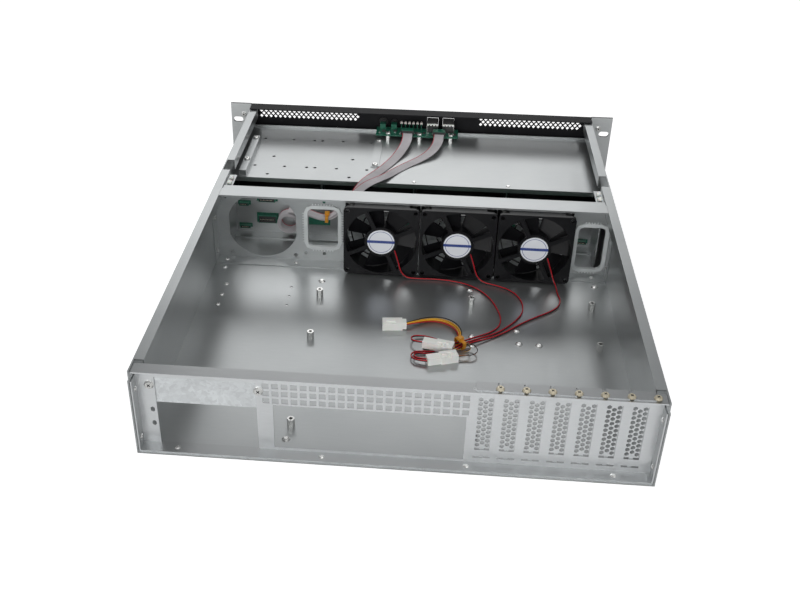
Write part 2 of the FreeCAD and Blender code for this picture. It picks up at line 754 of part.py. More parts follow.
def fan_frame(index):
    name = "fan_frame_%d" % (index + 1)
    plates = []
    reach = number("fan_hole_offset")
    for label, start in (("rear", "0"), ("front", "fan_depth - fan_plate")):
        plate = Stencil("XZ", start)
        plate.eased("-fan_size / 2", "-fan_size / 2", "fan_size / 2", "fan_size / 2", "fan_corner")
        plate.regular(0, 0, number("2 * fan_bore"), 28, 0)
        for a in (-1, 1):
            for b in (-1, 1):
                plate.drilled(reach * a, reach * b, "fan_hole_radius")
        plates.append(plate.sheet(name + "_" + label, "fan_plate"))
    middle = Stencil("XZ", "fan_plate")
    edge = "fan_size / 2"
    inset = "fan_size / 2 - fan_corner_cut"
    middle.polygon([(inset, "-" + edge), (edge, "-(%s)" % inset), (edge, inset), (inset, edge),
                    ("-(%s)" % inset, edge), ("-" + edge, inset), ("-" + edge, "-(%s)" % inset),
                    ("-(%s)" % inset, "-" + edge)])
    middle.regular(0, 0, number("2 * fan_bore"), 28, 0)
    pieces = plates + [middle.sheet(name + "_middle", "fan_depth - 2 * fan_plate")]
    pieces.append(cylinder(name + "_hub", ("0", "0", "0"), "fan_hub", "fan_hub_plate", "y"))
    pieces.append(cylinder(name + "_post", ("0", "fan_hub_plate", "0"), "fan_post", "post_length", "y"))
    for angle in (25, 115, 205, 295):
        strut = doc.addObject("Part::Box", name + "_strut")
        strut.setExpression("Length", bind("fan_bore + 0.5 - fan_hub / 2"))
        strut.setExpression("Width", bind("fan_hub_plate"))
        strut.setExpression("Height", bind("fan_strut"))
        turn = FreeCAD.Rotation(FreeCAD.Vector(0, 1, 0), -angle)
        strut.Placement.Rotation = turn
        along = turn.multVec(FreeCAD.Vector(1, 0, 0))
        across = turn.multVec(FreeCAD.Vector(0, 0, 1))
        for letter, a, b in (("x", along.x, across.x), ("z", along.z, across.z)):
            place = "fan_hub / 2 * %.6f - fan_strut / 2 * %.6f" % (a, b)
            strut.setExpression("Placement.Base." + letter, bind(place))
        pieces.append(strut)
    finish(fuse(name, pieces), name, x=fan_centre(index), y="fan_rear", z="fan_height")


def fan_rotor(index):
    """A hub cup with swept blades, turning on the frame's post."""
    name = "fan_rotor_%d" % (index + 1)
    count = int(number("blade_count"))
    cup = Stencil("XZ", "rotor_start")
    cup.regular(0, 0, number("2 * rotor_radius"), 3 * count, 0)
    pieces = [cup.sheet(name + "_cup", "rotor_end - rotor_start")]
    for step in range(count):
        blade = doc.addObject("Part::Wedge", name + "_blade")
        for key, value in (("Xmin", "-blade_root_half"), ("Xmax", "blade_root_half"),
                           ("X2min", "blade_sweep - blade_tip_half"), ("X2max", "blade_sweep + blade_tip_half"),
                           ("Ymin", "0"), ("Ymax", "blade_reach + 3 - rotor_radius"),
                           ("Zmin", "-blade_thickness / 2"), ("Zmax", "blade_thickness / 2"),
                           ("Z2min", "-blade_thickness / 2"), ("Z2max", "blade_thickness / 2")):
            blade.setExpression(key, bind(value))
        spin = FreeCAD.Rotation(FreeCAD.Vector(0, 1, 0), 360.0 * step / count)
        chord = FreeCAD.Vector(0, math.sin(BLADE_PITCH), math.cos(BLADE_PITCH))
        outward = FreeCAD.Vector(1, 0, 0)
        blade.Placement.Rotation = spin * FreeCAD.Rotation(chord, outward, chord.cross(outward), "XYZ")
        out = spin.multVec(outward)
        blade.setExpression("Placement.Base.x", bind("(rotor_radius - 2) * %.6f" % out.x))
        blade.setExpression("Placement.Base.y", bind("blade_middle"))
        blade.setExpression("Placement.Base.z", bind("(rotor_radius - 2) * %.6f" % out.z))
        pieces.append(blade)
    tips = Stencil("XZ", "0")
    tips.regular(0, 0, number("2 * blade_reach"), 4 * count, 0)
    tips.circle("0", "0", "fan_post + bearing_clearance")
    trimmed = doc.addObject("Part::Common", name + "_trimmed")
    trimmed.Base = fuse(name + "_whole", pieces)
    trimmed.Tool = tips.sheet(name + "_tips", "fan_depth")
    cap = Stencil("XZ", "fan_hub_plate + post_length + button_proud")
    cap.regular(0, 0, number("2 * rotor_radius"), 3 * count, 0)
    pieces = [trimmed, cap.sheet(name + "_cap", "rotor_end - fan_hub_plate - post_length - button_proud")]
    finish(fuse(name, pieces), name, x=fan_centre(index), y="fan_rear", z="fan_height")


BLADE_PITCH = math.radians(28.8)


def fan_guards():
    """Wire guards in front of the fans: three rings on four spokes, with feet at the screw places."""
    wire = number("guard_wire")
    face = number("wall_front")
    height = number("fan_height")
    guards = []
    for index in range(int(number("fan_count"))):
        centre = number(fan_centre(index))
        pieces = []
        for radius, sides in ((12.0, 8), (23.5, 10), (35.0, 14)):
            loops = []
            for r in (radius + wire / 2, radius - wire / 2):
                spots = [FreeCAD.Vector(centre + r * math.cos(2 * math.pi * i / sides), face,
                                        height + r * math.sin(2 * math.pi * i / sides)) for i in range(sides)]
                loops.append(Part.makePolygon(spots + spots[:1]))
            pieces.append(Part.makeFace(loops, "Part::FaceMakerBullseye").extrude(FreeCAD.Vector(0, wire, 0)))
        for angle in (45, 135):
            spoke = Part.makeBox(2 * 48.5, wire, wire, FreeCAD.Vector(-48.5, 0, -wire / 2))
            spoke.rotate(FreeCAD.Vector(0, 0, 0), FreeCAD.Vector(0, 1, 0), angle)
            spoke.translate(FreeCAD.Vector(centre, face, height))
            pieces.append(spoke)
        guards.append(pieces[0].multiFuse(pieces[1:]).removeSplitter())
    group("fan_guards", guards)


# The bay behind the front panel: plate, brackets, cage, carriers, backplane

STRIP_SCREWS = ("strip_start + 4", "strip_end - 4")
BAY_COLUMNS = ("-189.5", "-154.2", "-127.9", "-118", "-92.4", "-56.5")


def bay_plate():
    body = new_body("bay_plate")
    profile = [("bay_rear", "bay_hem"), ("bay_rear + gauge", "bay_hem"), ("bay_rear + gauge", "bay_under"),
               ("bay_front", "bay_under"), ("bay_front", "bay_upstand"), ("bay_front - gauge", "bay_upstand"),
               ("bay_front - gauge", "bay_top"), ("bay_rear", "bay_top")]
    pad(body, "YZ", "-panel_half", "2 * panel_half", [profile])
    spots = [(u, w) for w in ("521", "442.5") for u in BAY_COLUMNS]
    spots += [("-171", "469.5"), ("-75.5", "469.5"), ("-171", "420.5"), ("-75.5", "420.5")]
    holes = [facets(u, w, "bay_hole_radius", 8) for u, w in spots]
    holes += [facets("strip_left + strip_width / 2", y, "screw_radius + screw_play", 8) for y in STRIP_SCREWS]
    pocket(body, "XY", "bay_under", "gauge", holes)
    finish(body, "bay_plate")


def bracket_left():
    """A small channel, open below and closed at its rear end."""
    body = new_body("bracket_left")
    right = "channel_left + channel_width"
    pad(body, "YZ", "channel_left", "channel_width",
        [rectangle("channel_start", "bay_top", "channel_end", "channel_top")])
    pocket(body, "XZ", "channel_start + gauge", "channel_end - channel_start",
           [rectangle("channel_left + gauge", "bay_top - gauge", right + " - gauge", "channel_top - gauge")])
    holes = [facets("channel_left + channel_width / 2", y, "screw_radius + screw_play", 8) for y in ("445", "507")]
    pocket(body, "XY", "channel_top - gauge", "gauge", holes)
    finish(body, "bracket_left")


def bracket_middle():
    body = new_body("bracket_middle")
    pad(body, "XY", "bay_top", "strip_rise",
        [rectangle("strip_left", "strip_start", "strip_left + strip_width", "strip_end")])
    holes = [facets("strip_left + strip_width / 2", y, "screw_radius + screw_play", 8) for y in STRIP_SCREWS]
    pocket(body, "XY", "bay_top", "strip_rise", holes)
    finish(body, "bracket_middle")


def drive_cage():
    """One welded cage: a floor sheet, five uprights and the ledges that the carriers slide on."""
    body = new_body("drive_cage")
    length = "case_length - cage_rear"
    pad(body, "XZ", "cage_rear", length, [rectangle("-panel_half", "gauge", "panel_half", "2 * gauge")])
    uprights = []
    ledges = []
    for index in range(-2, 3):
        middle = "%d * column_pitch" % index
        left, right = middle + " - gauge / 2", middle + " + gauge / 2"
        uprights.append(rectangle(left, "2 * gauge", right, "bay_under"))
        low_edge = right if index == -2 else left + " - ledge_width"
        high_edge = left if index == 2 else right + " + ledge_width"
        ledges.append(rectangle(low_edge, "ledge_height", high_edge, "ledge_height + ledge_gauge"))
    pad(body, "XZ", "cage_rear", length, uprights)
    pad(body, "XZ", "cage_rear", length, ledges)
    finish(body, "drive_cage")


def drive_tray(number_from_left, row):
    """A drive carrier: an open tray with a bezel, a grille in it and a closed lever."""
    index = number_from_left + 1 + 4 * row
    name = "drive_tray_%d" % index
    body = new_body(name)
    floor_length = "tray_front - bezel_depth - tray_rear"
    profile = mirrored([("tray_half", "0"), ("tray_half", "tray_height * 0.8"),
                        ("tray_half - tray_wall", "tray_height * 0.8"), ("tray_half - tray_wall", "tray_wall")])
    pad(body, "XZ", "tray_rear", floor_length, [profile])
    pad(body, "XZ", "tray_front - bezel_depth", "bezel_depth",
        [rectangle("-tray_half", "0", "tray_half", "tray_height")])
    slots = [rectangle("-tray_half + 8", "%s" % low, "tray_half * 0.35", "%s + 3" % low) for low in (5, 11.5, 18)]
    pocket(body, "XZ", "tray_front - bezel_depth", "bezel_depth", slots)
    pocket(body, "XZ", "tray_front - bezel_depth * 0.4", "bezel_depth * 0.4",
           [rectangle("tray_half * 0.5", "5", "tray_half * 0.8", "tray_height - 5")])
    x = "(%s) * column_pitch" % (number_from_left - 1.5)
    finish(body, name, x=x, z="upper_tray" if row else "lower_tray")


def backplane_bracket():
    """A folded sheet behind the carriers, with cable cut-outs, a foot and two tall ears."""
    plate = Stencil("XZ", "backplane_rear")
    plate.polygon(mirrored([("rail_in - sheet_gap", "gauge"), ("rail_in - sheet_gap", "backplane_top")]))
    for sign in (-1, 1):
        for near, far, low, high in ((186, 201, 36, 42), (154.5, 179, 41.7, 50), (154, 179.6, 14, 27.3),
                                     (185.2, 201, 7, 12.8)):
            plate.polygon(rectangle(min(sign * near, sign * far), low, max(sign * near, sign * far), high))
    for centre in (-106.5, 0, 106.5):
        for low, high in ((14, 27.3), (41.7, 50)):
            plate.polygon(rectangle(centre - 12.5, low, centre + 12.5, high))
    edge = "rail_in - sheet_gap"
    pieces = [plate.sheet("backplane_plate", "gauge")]
    pieces.append(box("backplane_foot_flange", ("-(%s)" % edge, "backplane_rear - backplane_foot", "gauge"),
                      (edge, "backplane_rear", "2 * gauge")))
    for name, low, high, inner_low, inner_high in (
            ("left", "-(%s)" % edge, "-(%s) + gauge" % edge, "-(%s)" % edge, "-(%s) + ear_width" % edge),
            ("right", edge + " - gauge", edge, edge + " - ear_width", edge)):
        pieces.append(box("backplane_side_" + name, (low, "ear_start", "gauge"),
                          (high, "backplane_rear", "backplane_top")))
        pieces.append(box("backplane_post_" + name, (low, "ear_start", "gauge"),
                          (high, "ear_start + ear_length", "ear_top")))
        pieces.append(box("backplane_ear_" + name, (inner_low, "ear_start", "ear_top - gauge"),
                          (inner_high, "ear_start + ear_length", "ear_top")))
    finish(fuse("backplane_bracket", pieces), "backplane_bracket")


def backplane_board():
    """The circuit board behind the carriers, with drive sockets forward and cable sockets rearward."""
    pieces = [box("board_sheet", ("-rail_in + sheet_gap", "board_rear", "4"),
                  ("rail_in - sheet_gap", "board_rear + board_gauge", "backplane_top"))]
    for column in range(4):
        for row in range(2):
            middle = "(%s) * column_pitch" % (column - 1.5)
            base = "upper_tray + 8" if row else "lower_tray + 8"
            pieces.append(box("drive_socket", (middle + " - 17", "board_rear + board_gauge", base),
                              (middle + " + 17", "board_rear + board_gauge + 11", base + " + 6")))
    for sign in (-1, 1):
        for near, far, low, high in ((188, 199, 37, 41), (157, 176, 43, 48.5), (156, 177, 16, 25.5),
                                     (187, 199, 8, 12)):
            pieces.append(box("cable_socket", (min(sign * near, sign * far), "board_rear - 6", low),
                              (max(sign * near, sign * far), "board_rear", high)))
    finish(fuse("backplane_board", pieces), "backplane_board")


# The front panel, the control board behind it, the rack ears and handles

def front_panel():
    panel = Stencil("XZ", "case_length")
    panel.polygon(rectangle("-half_out", "0", "half_out", "front_top"))
    for column in range(4):
        middle = "(%s) * column_pitch" % (column - 1.5)
        for low, high in (("2 * gauge", "ledge_height"), ("ledge_height + ledge_gauge", "bay_under")):
            panel.polygon(rectangle(middle + " - column_clear / 2", low, middle + " + column_clear / 2", high))
    for side in ("hole_left", "hole_right"):
        for row in range(int(number("hole_rows"))):
            for column in range(int(number("hole_columns"))):
                u = number("%s + hole_pitch * %s" % (side, column + 0.5 * (row % 2)))
                panel.regular(u, number("hole_low + hole_rise * %d" % row), number("hole_size"), 4, 0)
    for index in range(2):
        low = "socket_first + %d * socket_pitch" % index
        panel.polygon(rectangle(low, "control_top + 0.3", low + " + socket_width", "control_top + socket_height"))
    for place, radius in (("power_place", "power_radius"), ("reset_place", "reset_radius")):
        panel.regular(number(place), number("button_height"), number("2 * (%s + button_gap)" % radius), 12, 15)
    flange = box("front_flange", ("-neck_out", "case_length + front_gauge - front_flange", "front_top - gauge"),
                 ("neck_out", "case_length", "front_top"))
    finish(fuse("front_panel", [panel.sheet("front_sheet", "front_gauge"), flange]), "front_panel")


def button(name, place, radius):
    """A push button with a collar behind the panel, so that it stays in."""
    body = new_body(name)
    pad(body, "XZ", "switch_front + button_travel", "case_length + front_gauge + button_proud"
        " - switch_front - button_travel", [facets(place, "button_height", radius, 12)])
    pad(body, "XZ", "case_length - button_travel * 2", "button_travel * 2 - 0.3",
        [facets(place, "button_height", radius + " + 1.2", 12)])
    finish(body, name)


def control_board():
    body = new_body("control_board")
    pad(body, "XY", "control_under", "board_gauge",
        [rectangle("control_left", "control_rear", "control_right", "control_front")])
    headers = [rectangle("-21", "control_rear + 1.5", "-6", "control_rear + 9"),
               rectangle("18.5", "control_rear + 1.5", "33.5", "control_rear + 9")]
    pad(body, "XY", "control_top", "6.5", headers)
    switches = [rectangle(place + " - 3.5", "control_front - 7", place + " + 3.5", "switch_front - 1")
                for place in ("power_place", "reset_place")]
    pad(body, "XY", "control_top", "button_height + 2.5 - control_top", switches)
    plungers = [facets(place, "button_height", "1.4", 8) for place in ("power_place", "reset_place")]
    pad(body, "XZ", "switch_front - 1", "1", plungers)
    legs = [rectangle("%s" % x, "control_front - 4.5", "%s + 1" % x, "control_front - 3.5")
            for x in (-22, -17, -12, -7, -2, 3)]
    pad(body, "XY", "control_top", "7", legs)
    holes = [facets(x, "spacer_row", "screw_radius + screw_play", 8) for x in ("-37.5", "1.7", "40.5")]
    pocket(body, "XY", "control_under", "board_gauge", holes)
    finish(body, "control_board")


def usb_sockets():
    """Two metal socket shells, open to the front, each with its tongue."""
    shells = []
    for index in range(2):
        low = "socket_first + %d * socket_pitch" % index
        x, y, z = number(low + " + 0.2"), number("socket_rear"), number("control_top")
        width, height = number("socket_width - 0.4"), number("socket_height - 0.2")
        depth = number("case_length - 0.3 - socket_rear")
        wall = number("socket_wall")
        shell = Part.makeBox(width, depth, height, FreeCAD.Vector(x, y, z))
        hollow = Part.makeBox(width - 2 * wall, depth - wall, height - 2 * wall,
                              FreeCAD.Vector(x + wall, y + wall, z + wall))
        tongue = Part.makeBox(width - 5, depth - 3 * wall, 2.2, FreeCAD.Vector(x + 2.5, y, z + height - 4.6))
        shells.append(shell.cut(hollow).fuse(tongue).removeSplitter())
    group("usb_sockets", shells)


def rack_ear(name, side):
    """A thick ear with two mounting slots, folded back along the outside of the wall."""
    body = new_body(name)
    sign = "" if side > 0 else "-"
    ends = ("half_out", "rack_width / 2")
    edges = ends if side > 0 else ("-rack_width / 2", "-half_out")
    pad(body, "XZ", "case_length", "ear_gauge", [rectangle(edges[0], "0", edges[1], "front_top")])
    leg = ("half_out", "half_out + ear_leg_gauge") if side > 0 else ("-half_out - ear_leg_gauge", "-half_out")
    pad(body, "XZ", "case_length - ear_leg", "ear_leg", [rectangle(leg[0], "4", leg[1], "joggle_height - 2")])
    middle = "%sear_slot_offset" % sign
    reach = "(ear_slot_length / 2 - ear_slot_radius)"
    for height in ("ear_slot_middle - ear_slot_spacing / 2", "ear_slot_middle + ear_slot_spacing / 2"):
        pocket(body, "XZ", "case_length", "ear_gauge",
               [rectangle("%s - %s" % (middle, reach), height + " - ear_slot_radius",
                          "%s + %s" % (middle, reach), height + " + ear_slot_radius")])
        for end in (" - ", " + "):
            pocket(body, "XZ", "case_length", "ear_gauge",
                   circles=[(middle + end + reach, height, "ear_slot_radius")])
    holes = [facets("%shandle_offset" % sign, height, "screw_radius + screw_play", 8)
             for height in ("handle_low", "handle_high")]
    pocket(body, "XZ", "case_length", "ear_gauge", holes)
    finish(body, name)


def handle(name, side):
    """A square bar, bent at both ends, that stands on the ear's front."""
    body = new_body(name)
    middle = "%d * handle_offset" % side
    root, reach = "case_length + ear_gauge", "case_length + ear_gauge + handle_reach"
    low, high, half = "handle_low", "handle_high", "handle_radius"
    bend = "handle_bend"
    outline = [(root, "%s - %s" % (low, half)), ("%s - %s" % (reach, bend), "%s - %s" % (low, half)),
               ("%s - %s * 0.29" % (reach, bend), "%s - %s + %s * 0.29" % (low, half, bend)),
               (reach, "%s - %s + %s" % (low, half, bend)), (reach, "%s + %s - %s" % (high, half, bend)),
               ("%s - %s * 0.29" % (reach, bend), "%s + %s - %s * 0.29" % (high, half, bend)),
               ("%s - %s" % (reach, bend), "%s + %s" % (high, half)), (root, "%s + %s" % (high, half)),
               (root, "%s - %s" % (high, half)), ("%s - %s" % (reach, bend), "%s - %s" % (high, half)),
               ("%s - 2 * %s" % (reach, half), "%s - %s" % (high, bend)),
               ("%s - 2 * %s" % (reach, half), "%s + %s" % (low, bend)),
               ("%s - %s" % (reach, bend), "%s + %s" % (low, half)), (root, "%s + %s" % (low, half))]
    pad(body, "YZ", "%s - %s" % (middle, half), "2 * " + half, [outline])
    holes = [facets(middle, height, "screw_radius + screw_play", 8) for height in (low, high)]
    pocket(body, "XZ", root, "8", holes)
    finish(body, name)


# Fasteners, spacers and rivets

def fasteners():
    shelf = "rear_panel_top + cover_gauge"
    short = screw("pan_head_radius", "cover_gauge + gauge + 2.5")
    spots = [(cover_centre(i) + " + cover_screw_offset", "cover_screw_edge", shelf, UP)
             for i in range(int(number("slot_count")))]
    group("slot_screws", copies(short, spots))
    large = screw("large_head_radius", "gauge + cover_gauge + 2.5")
    group("plate_screws", copies(large, [(place, "panel_setback", "blank_screw_height", REARWARD)
                                         for place in ("blank_screw_left", "blank_screw_right")]))
    fan_screw = screw("fan_screw_head", "gauge + guard_wire + 6")
    spots = []
    for index in range(int(number("fan_count"))):
        spots += [(u, "wall_front + guard_wire", w, FORWARD) for u, w in hole_corners(fan_centre(index))]
    group("fan_screws", copies(fan_screw, spots))
    through = screw("pan_head_radius", "gauge + 2.5")
    spots = [("channel_left + channel_width / 2", y, "channel_top", UP) for y in ("445", "507")]
    spots += [("strip_left + strip_width / 2", y, "bay_top + strip_rise", UP) for y in STRIP_SCREWS]
    board = screw("pan_head_radius", "board_gauge + 2")
    board_spots = [(x, "spacer_row", "control_top", UP) for x in ("-37.5", "1.7", "40.5")]
    grip = screw("pan_head_radius", "ear_gauge + 6")
    grip_spots = [("%d * handle_offset" % side, "case_length", height, REARWARD)
                  for side in (-1, 1) for height in ("handle_low", "handle_high")]
    group("panhead_screws", copies(through, spots) + copies(board, board_spots) + copies(grip, grip_spots))


def standoffs():
    def post(height):
        bore = ring(number("screw_radius + screw_play"), 0, 8)
        section = Part.makeFace([ring(number("standoff_radius"), 0, 6), bore], "Part::FaceMakerBullseye")
        return section.extrude(FreeCAD.Vector(0, 0, height))

    tall = post(number("standoff_height"))
    spots = [(x, y, "gauge", UP) for x, y in (("-90.7", "46"), ("-90.7", "180"), ("-90.7", "258"), ("67.9", "46"),
                                              ("67.9", "258"), ("192", "46"), ("192", "186"), ("192", "259"))]
    low = post(number("control_spacer"))
    low_spots = [(x, "spacer_row", "bay_top", UP) for x in ("-37.5", "1.7", "40.5")]
    wide, height = number("clinch_radius"), number("clinch_height")
    stud = turned([(wide, 0), (wide * 0.8, height * 0.55), (wide * 0.45, height)])
    stud_spots = [(x, y, "gauge", UP) for x, y in (
        ("-92.6", "28"), ("-92", "287.5"), ("67.1", "285"), ("68.3", "198"), ("68.2", "182"),
        ("113.3", "212.5"), ("114.3", "189.3"), ("133.7", "188.6"), ("200.4", "304"))]
    group("board_standoffs", copies(tall, spots) + copies(low, low_spots) + copies(stud, stud_spots))


def rivets():
    wide, height = number("rivet_radius"), number("rivet_height")
    dome = turned([(wide, 0), (wide * 0.6, height)])
    spots = [(x, "7.5", "2 * gauge", UP) for x in ("-182", "-59.4", "61.5", "182.3")]
    spots += [("-panel_half + gauge", "8.5", z, RIGHTWARD) for z in ("62", "11.5")]
    spots += [("panel_half - gauge", "8.5", z, LEFTWARD) for z in ("62.4", "13.5")]
    spots += [(x, "wall_rear - 7.5", "2 * gauge", UP) for x in ("-202", "-125", "199")]
    spots += [("-panel_half + gauge", "wall_rear - 8", z, RIGHTWARD) for z in ("12.5", "54")]
    spots += [("panel_half - gauge", "wall_rear - 8", z, LEFTWARD) for z in ("16", "54")]
    spots += [(x, y, "gauge", UP) for x, y in (("-201.6", "306"), ("-193", "272"), ("-194", "251"),
                                               ("-194", "232"))]
    spots += [(x, y, "bay_top", UP) for x, y in (("0", "416"), ("107.6", "416"))]
    group("rivets", copies(dome, spots))


# Wiring. A route is straight runs joined by tangent arcs.

def route(points):
    """The wire along a route, and each arc's radius: 0.45 of the shorter run over tan(half the turn)."""
    spots = [FreeCAD.Vector(*point) for point in points]
    edges = []
    radii = []
    start = spots[0]
    for before, corner, after in zip(spots, spots[1:], spots[2:]):
        back = before - corner
        ahead = after - corner
        turn = math.pi - back.getAngle(ahead)
        trim = 0.45 * min(back.Length, ahead.Length)
        radius = trim / math.tan(turn / 2)
        back.normalize()
        ahead.normalize()
        leave = corner + back * trim
        join = corner + ahead * trim
        inward = (back + ahead).normalize()
        middle = corner + inward * (math.hypot(radius, trim) - radius)
        edges.append(Part.LineSegment(start, leave).toShape())
        edges.append(Part.Arc(leave, middle, join).toShape())
        radii.append(radius)
        start = join
    edges.append(Part.LineSegment(start, spots[-1]).toShape())
    return Part.Wire(edges), radii


def swept(name, points, corners, area):
    """A cord along a route: a few-sided section that stays level, ruled from station to station."""
    path, radii = route(points)
    stations = []
    for edge in path.Edges:
        low, high = edge.ParameterRange
        bent = edge.Curve.TypeId == "Part::GeomCircle"
        steps = max(1, math.ceil(math.degrees(high - low) / WIDEST_STEP)) if bent else 1
        for i in range(steps + 1):
            t = low + (high - low) * i / steps
            spot, heading = edge.valueAt(t), edge.tangentAt(t)
            if not stations or spot.distanceToPoint(stations[-1][0]) > NEAREST_STATION:
                stations.append((spot, heading))
    rings = []
    for spot, heading in stations:
        across = heading.cross(UP).normalize()
        lift = across.cross(heading).normalize()
        rings.append([spot + across * a + lift * b for a, b in corners])
    faces = []

    def triangle(a, b, c):
        faces.append(Part.Face(Part.makePolygon([a, b, c, a])))

    for one, two in zip(rings, rings[1:]):
        for i in range(len(corners)):
            j = (i + 1) % len(corners)
            if 2 * i < len(corners):
                triangle(one[i], one[j], two[j])
                triangle(one[i], two[j], two[i])
            else:
                triangle(one[i], one[j], two[i])
                triangle(one[j], two[j], two[i])
    for end in (rings[0], rings[-1]):
        faces.append(Part.Face(Part.makePolygon(end + end[:1])))
    solid = Part.Solid(Part.Shell(faces))
    if solid.Volume < 0:
        solid.reverse()
    print("%s: %.0f mm long, radii %s, volume %.3f of section times length" % (
        name, path.Length, ", ".join("%.0f" % r for r in radii), solid.Volume / (area * path.Length)))
    return solid


def tube(name, points, diameter):
    """A round cord, drawn with as many flats as keep its section's area."""
    area = math.pi * diameter ** 2 / 4
    reach = math.sqrt(2 * area / (CORD_SIDES * math.sin(2 * math.pi / CORD_SIDES)))
    angles = [2 * math.pi * (i + 0.5) / CORD_SIDES for i in range(CORD_SIDES)]
    return swept(name, points, [(reach * math.cos(a), reach * math.sin(a)) for a in angles], area)


def strip(name, points, width, thickness):
    """A flat cable."""
    a, b = width / 2, thickness / 2
    return swept(name, points, [(-a, -b), (a, -b), (a, b), (-a, b)], width * thickness)


WIDEST_STEP = 26.0
NEAREST_STATION = 0.05
CORD_SIDES = 6

FAN_LEADS = (
    [(-16.0, 305.8, 33.5), (-11.6, 303.4, 21.5), (-8.6, 301.7, 9.5), (-2.0, 300.4, 2.9), (10.0, 300.2, 2.4),
     (26.5, 301.2, 2.4), (44.0, 300.0, 2.4), (61.6, 295.4, 2.4), (76.8, 284.8, 2.4), (88.0, 268.6, 2.4),
     (94.2, 251.0, 2.4), (98.2, 233.0, 2.4), (96.4, 218.0, 2.4), (88.6, 207.0, 2.4), (77.0, 198.6, 2.6),
     (65.5, 190.4, 3.6), (52.6, 181.2, 3.6), (43.0, 181.6, 3.2), (34.0, 187.4, 2.8), (24.0, 191.8, 3.0),
     (14.0, 191.4, 3.6), (9.8, 188.3, 4.6), (8.2, 183.4, 5.8), (9.8, 178.4, 6.8), (14.0, 176.0, 7.4),
     (20.4, 175.0, 7.4)],
    [(65.2, 305.8, 33.5), (69.6, 303.4, 21.5), (73.0, 301.7, 9.5), (80.0, 299.2, 2.9), (92.5, 295.6, 2.4),
     (107.0, 289.0, 2.4), (117.0, 277.0, 2.4), (121.5, 261.5, 2.4), (121.2, 246.5, 2.4), (115.0, 232.0, 2.4),
     (105.6, 218.5, 2.4), (94.2, 206.0, 2.4), (81.2, 196.6, 2.6), (68.6, 188.4, 3.4), (56.4, 180.0, 3.4),
     (47.5, 173.2, 2.4), (38.5, 168.6, 2.3), (28.0, 166.8, 2.4), (17.0, 166.6, 2.6), (11.2, 163.4, 3.2),
     (8.8, 157.4, 4.0), (11.2, 151.4, 4.8), (17.0, 148.2, 5.2), (25.5, 147.4, 5.2)],
    [(146.4, 305.8, 33.5), (151.0, 303.4, 21.5), (154.8, 301.7, 9.5), (158.6, 296.4, 3.6), (159.0, 285.0, 2.4),
     (161.6, 272.5, 2.4), (158.5, 259.5, 2.4), (148.5, 248.4, 2.4), (134.5, 238.0, 2.4), (120.5, 226.5, 2.4),
     (108.0, 213.5, 2.4), (96.6, 202.6, 2.4), (83.6, 193.4, 2.6), (71.0, 185.6, 4.3), (58.7, 177.2, 4.3),
     (50.5, 170.6, 2.4), (41.5, 165.6, 2.3), (30.0, 163.5, 2.4), (22.0, 163.1, 2.6), (16.0, 163.0, 3.0),
     (13.1, 160.9, 3.5), (12.0, 157.4, 4.1), (13.1, 154.0, 4.7), (16.0, 151.9, 5.0), (24.4, 150.7, 5.2)],
)

HARNESS = [(2.6, 208.0, 5.7), (11.5, 212.8, 5.2), (22.0, 219.4, 3.8), (35.0, 221.6, 3.4), (46.6, 216.4, 3.6),
           (53.8, 206.0, 4.8), (56.6, 193.6, 6.4), (56.4, 179.4, 6.6)]
BRANCHES = (
    [(55.5, 178.8, 6.6), (62.6, 178.4, 6.8), (66.2, 173.4, 7.0), (66.2, 167.6, 7.2), (62.0, 163.9, 7.4),
     (56.2, 164.9, 7.4), (49.6, 167.8, 7.4)],
    [(57.8, 179.3, 6.6), (65.4, 178.9, 6.6), (71.8, 174.6, 6.4), (73.6, 168.0, 6.0), (70.4, 161.8, 5.6),
     (62.6, 160.0, 5.3), (51.6, 158.0, 5.2)],
)

RIBBONS = (
    [(-13.5, 534.5, 71.5), (-12.6, 522.0, 71.5), (-13.8, 508.0, 69.4), (-18.4, 493.0, 66.0),
     (-25.0, 476.0, 63.2), (-33.8, 455.0, 62.2), (-43.4, 436.0, 62.2), (-51.0, 420.0, 63.2),
     (-56.5, 406.0, 63.8), (-61.0, 393.5, 62.2), (-66.5, 384.0, 56.2), (-74.5, 378.0, 46.0),
     (-84.5, 376.4, 36.4), (-95.5, 376.0, 30.2), (-107.0, 377.4, 31.0), (-118.5, 380.0, 34.2),
     (-129.5, 382.3, 35.2), (-141.0, 382.3, 35.05)],
    [(26.0, 534.5, 71.5), (25.8, 521.0, 71.5), (24.4, 507.0, 69.6), (17.5, 490.0, 66.4),
     (4.5, 474.5, 63.4), (-9.5, 460.5, 62.3), (-21.5, 444.5, 62.2), (-31.5, 427.5, 63.0),
     (-41.0, 411.0, 65.6), (-51.0, 398.0, 66.6), (-60.5, 388.5, 62.8), (-68.5, 381.0, 57.0),
     (-76.5, 377.0, 48.4), (-86.0, 376.2, 39.4), (-96.0, 376.0, 31.6), (-107.0, 377.4, 32.4),
     (-118.0, 380.0, 35.6), (-129.5, 382.3, 36.5), (-141.0, 382.3, 36.25)],
)


def lying(shape, x, y, z, angle):
    """A shape drawn at the origin, turned about the vertical and moved to its place."""
    out = shape.copy()
    out.Placement = FreeCAD.Placement(FreeCAD.Vector(x, y, z), FreeCAD.Rotation(UP, angle))
    return out


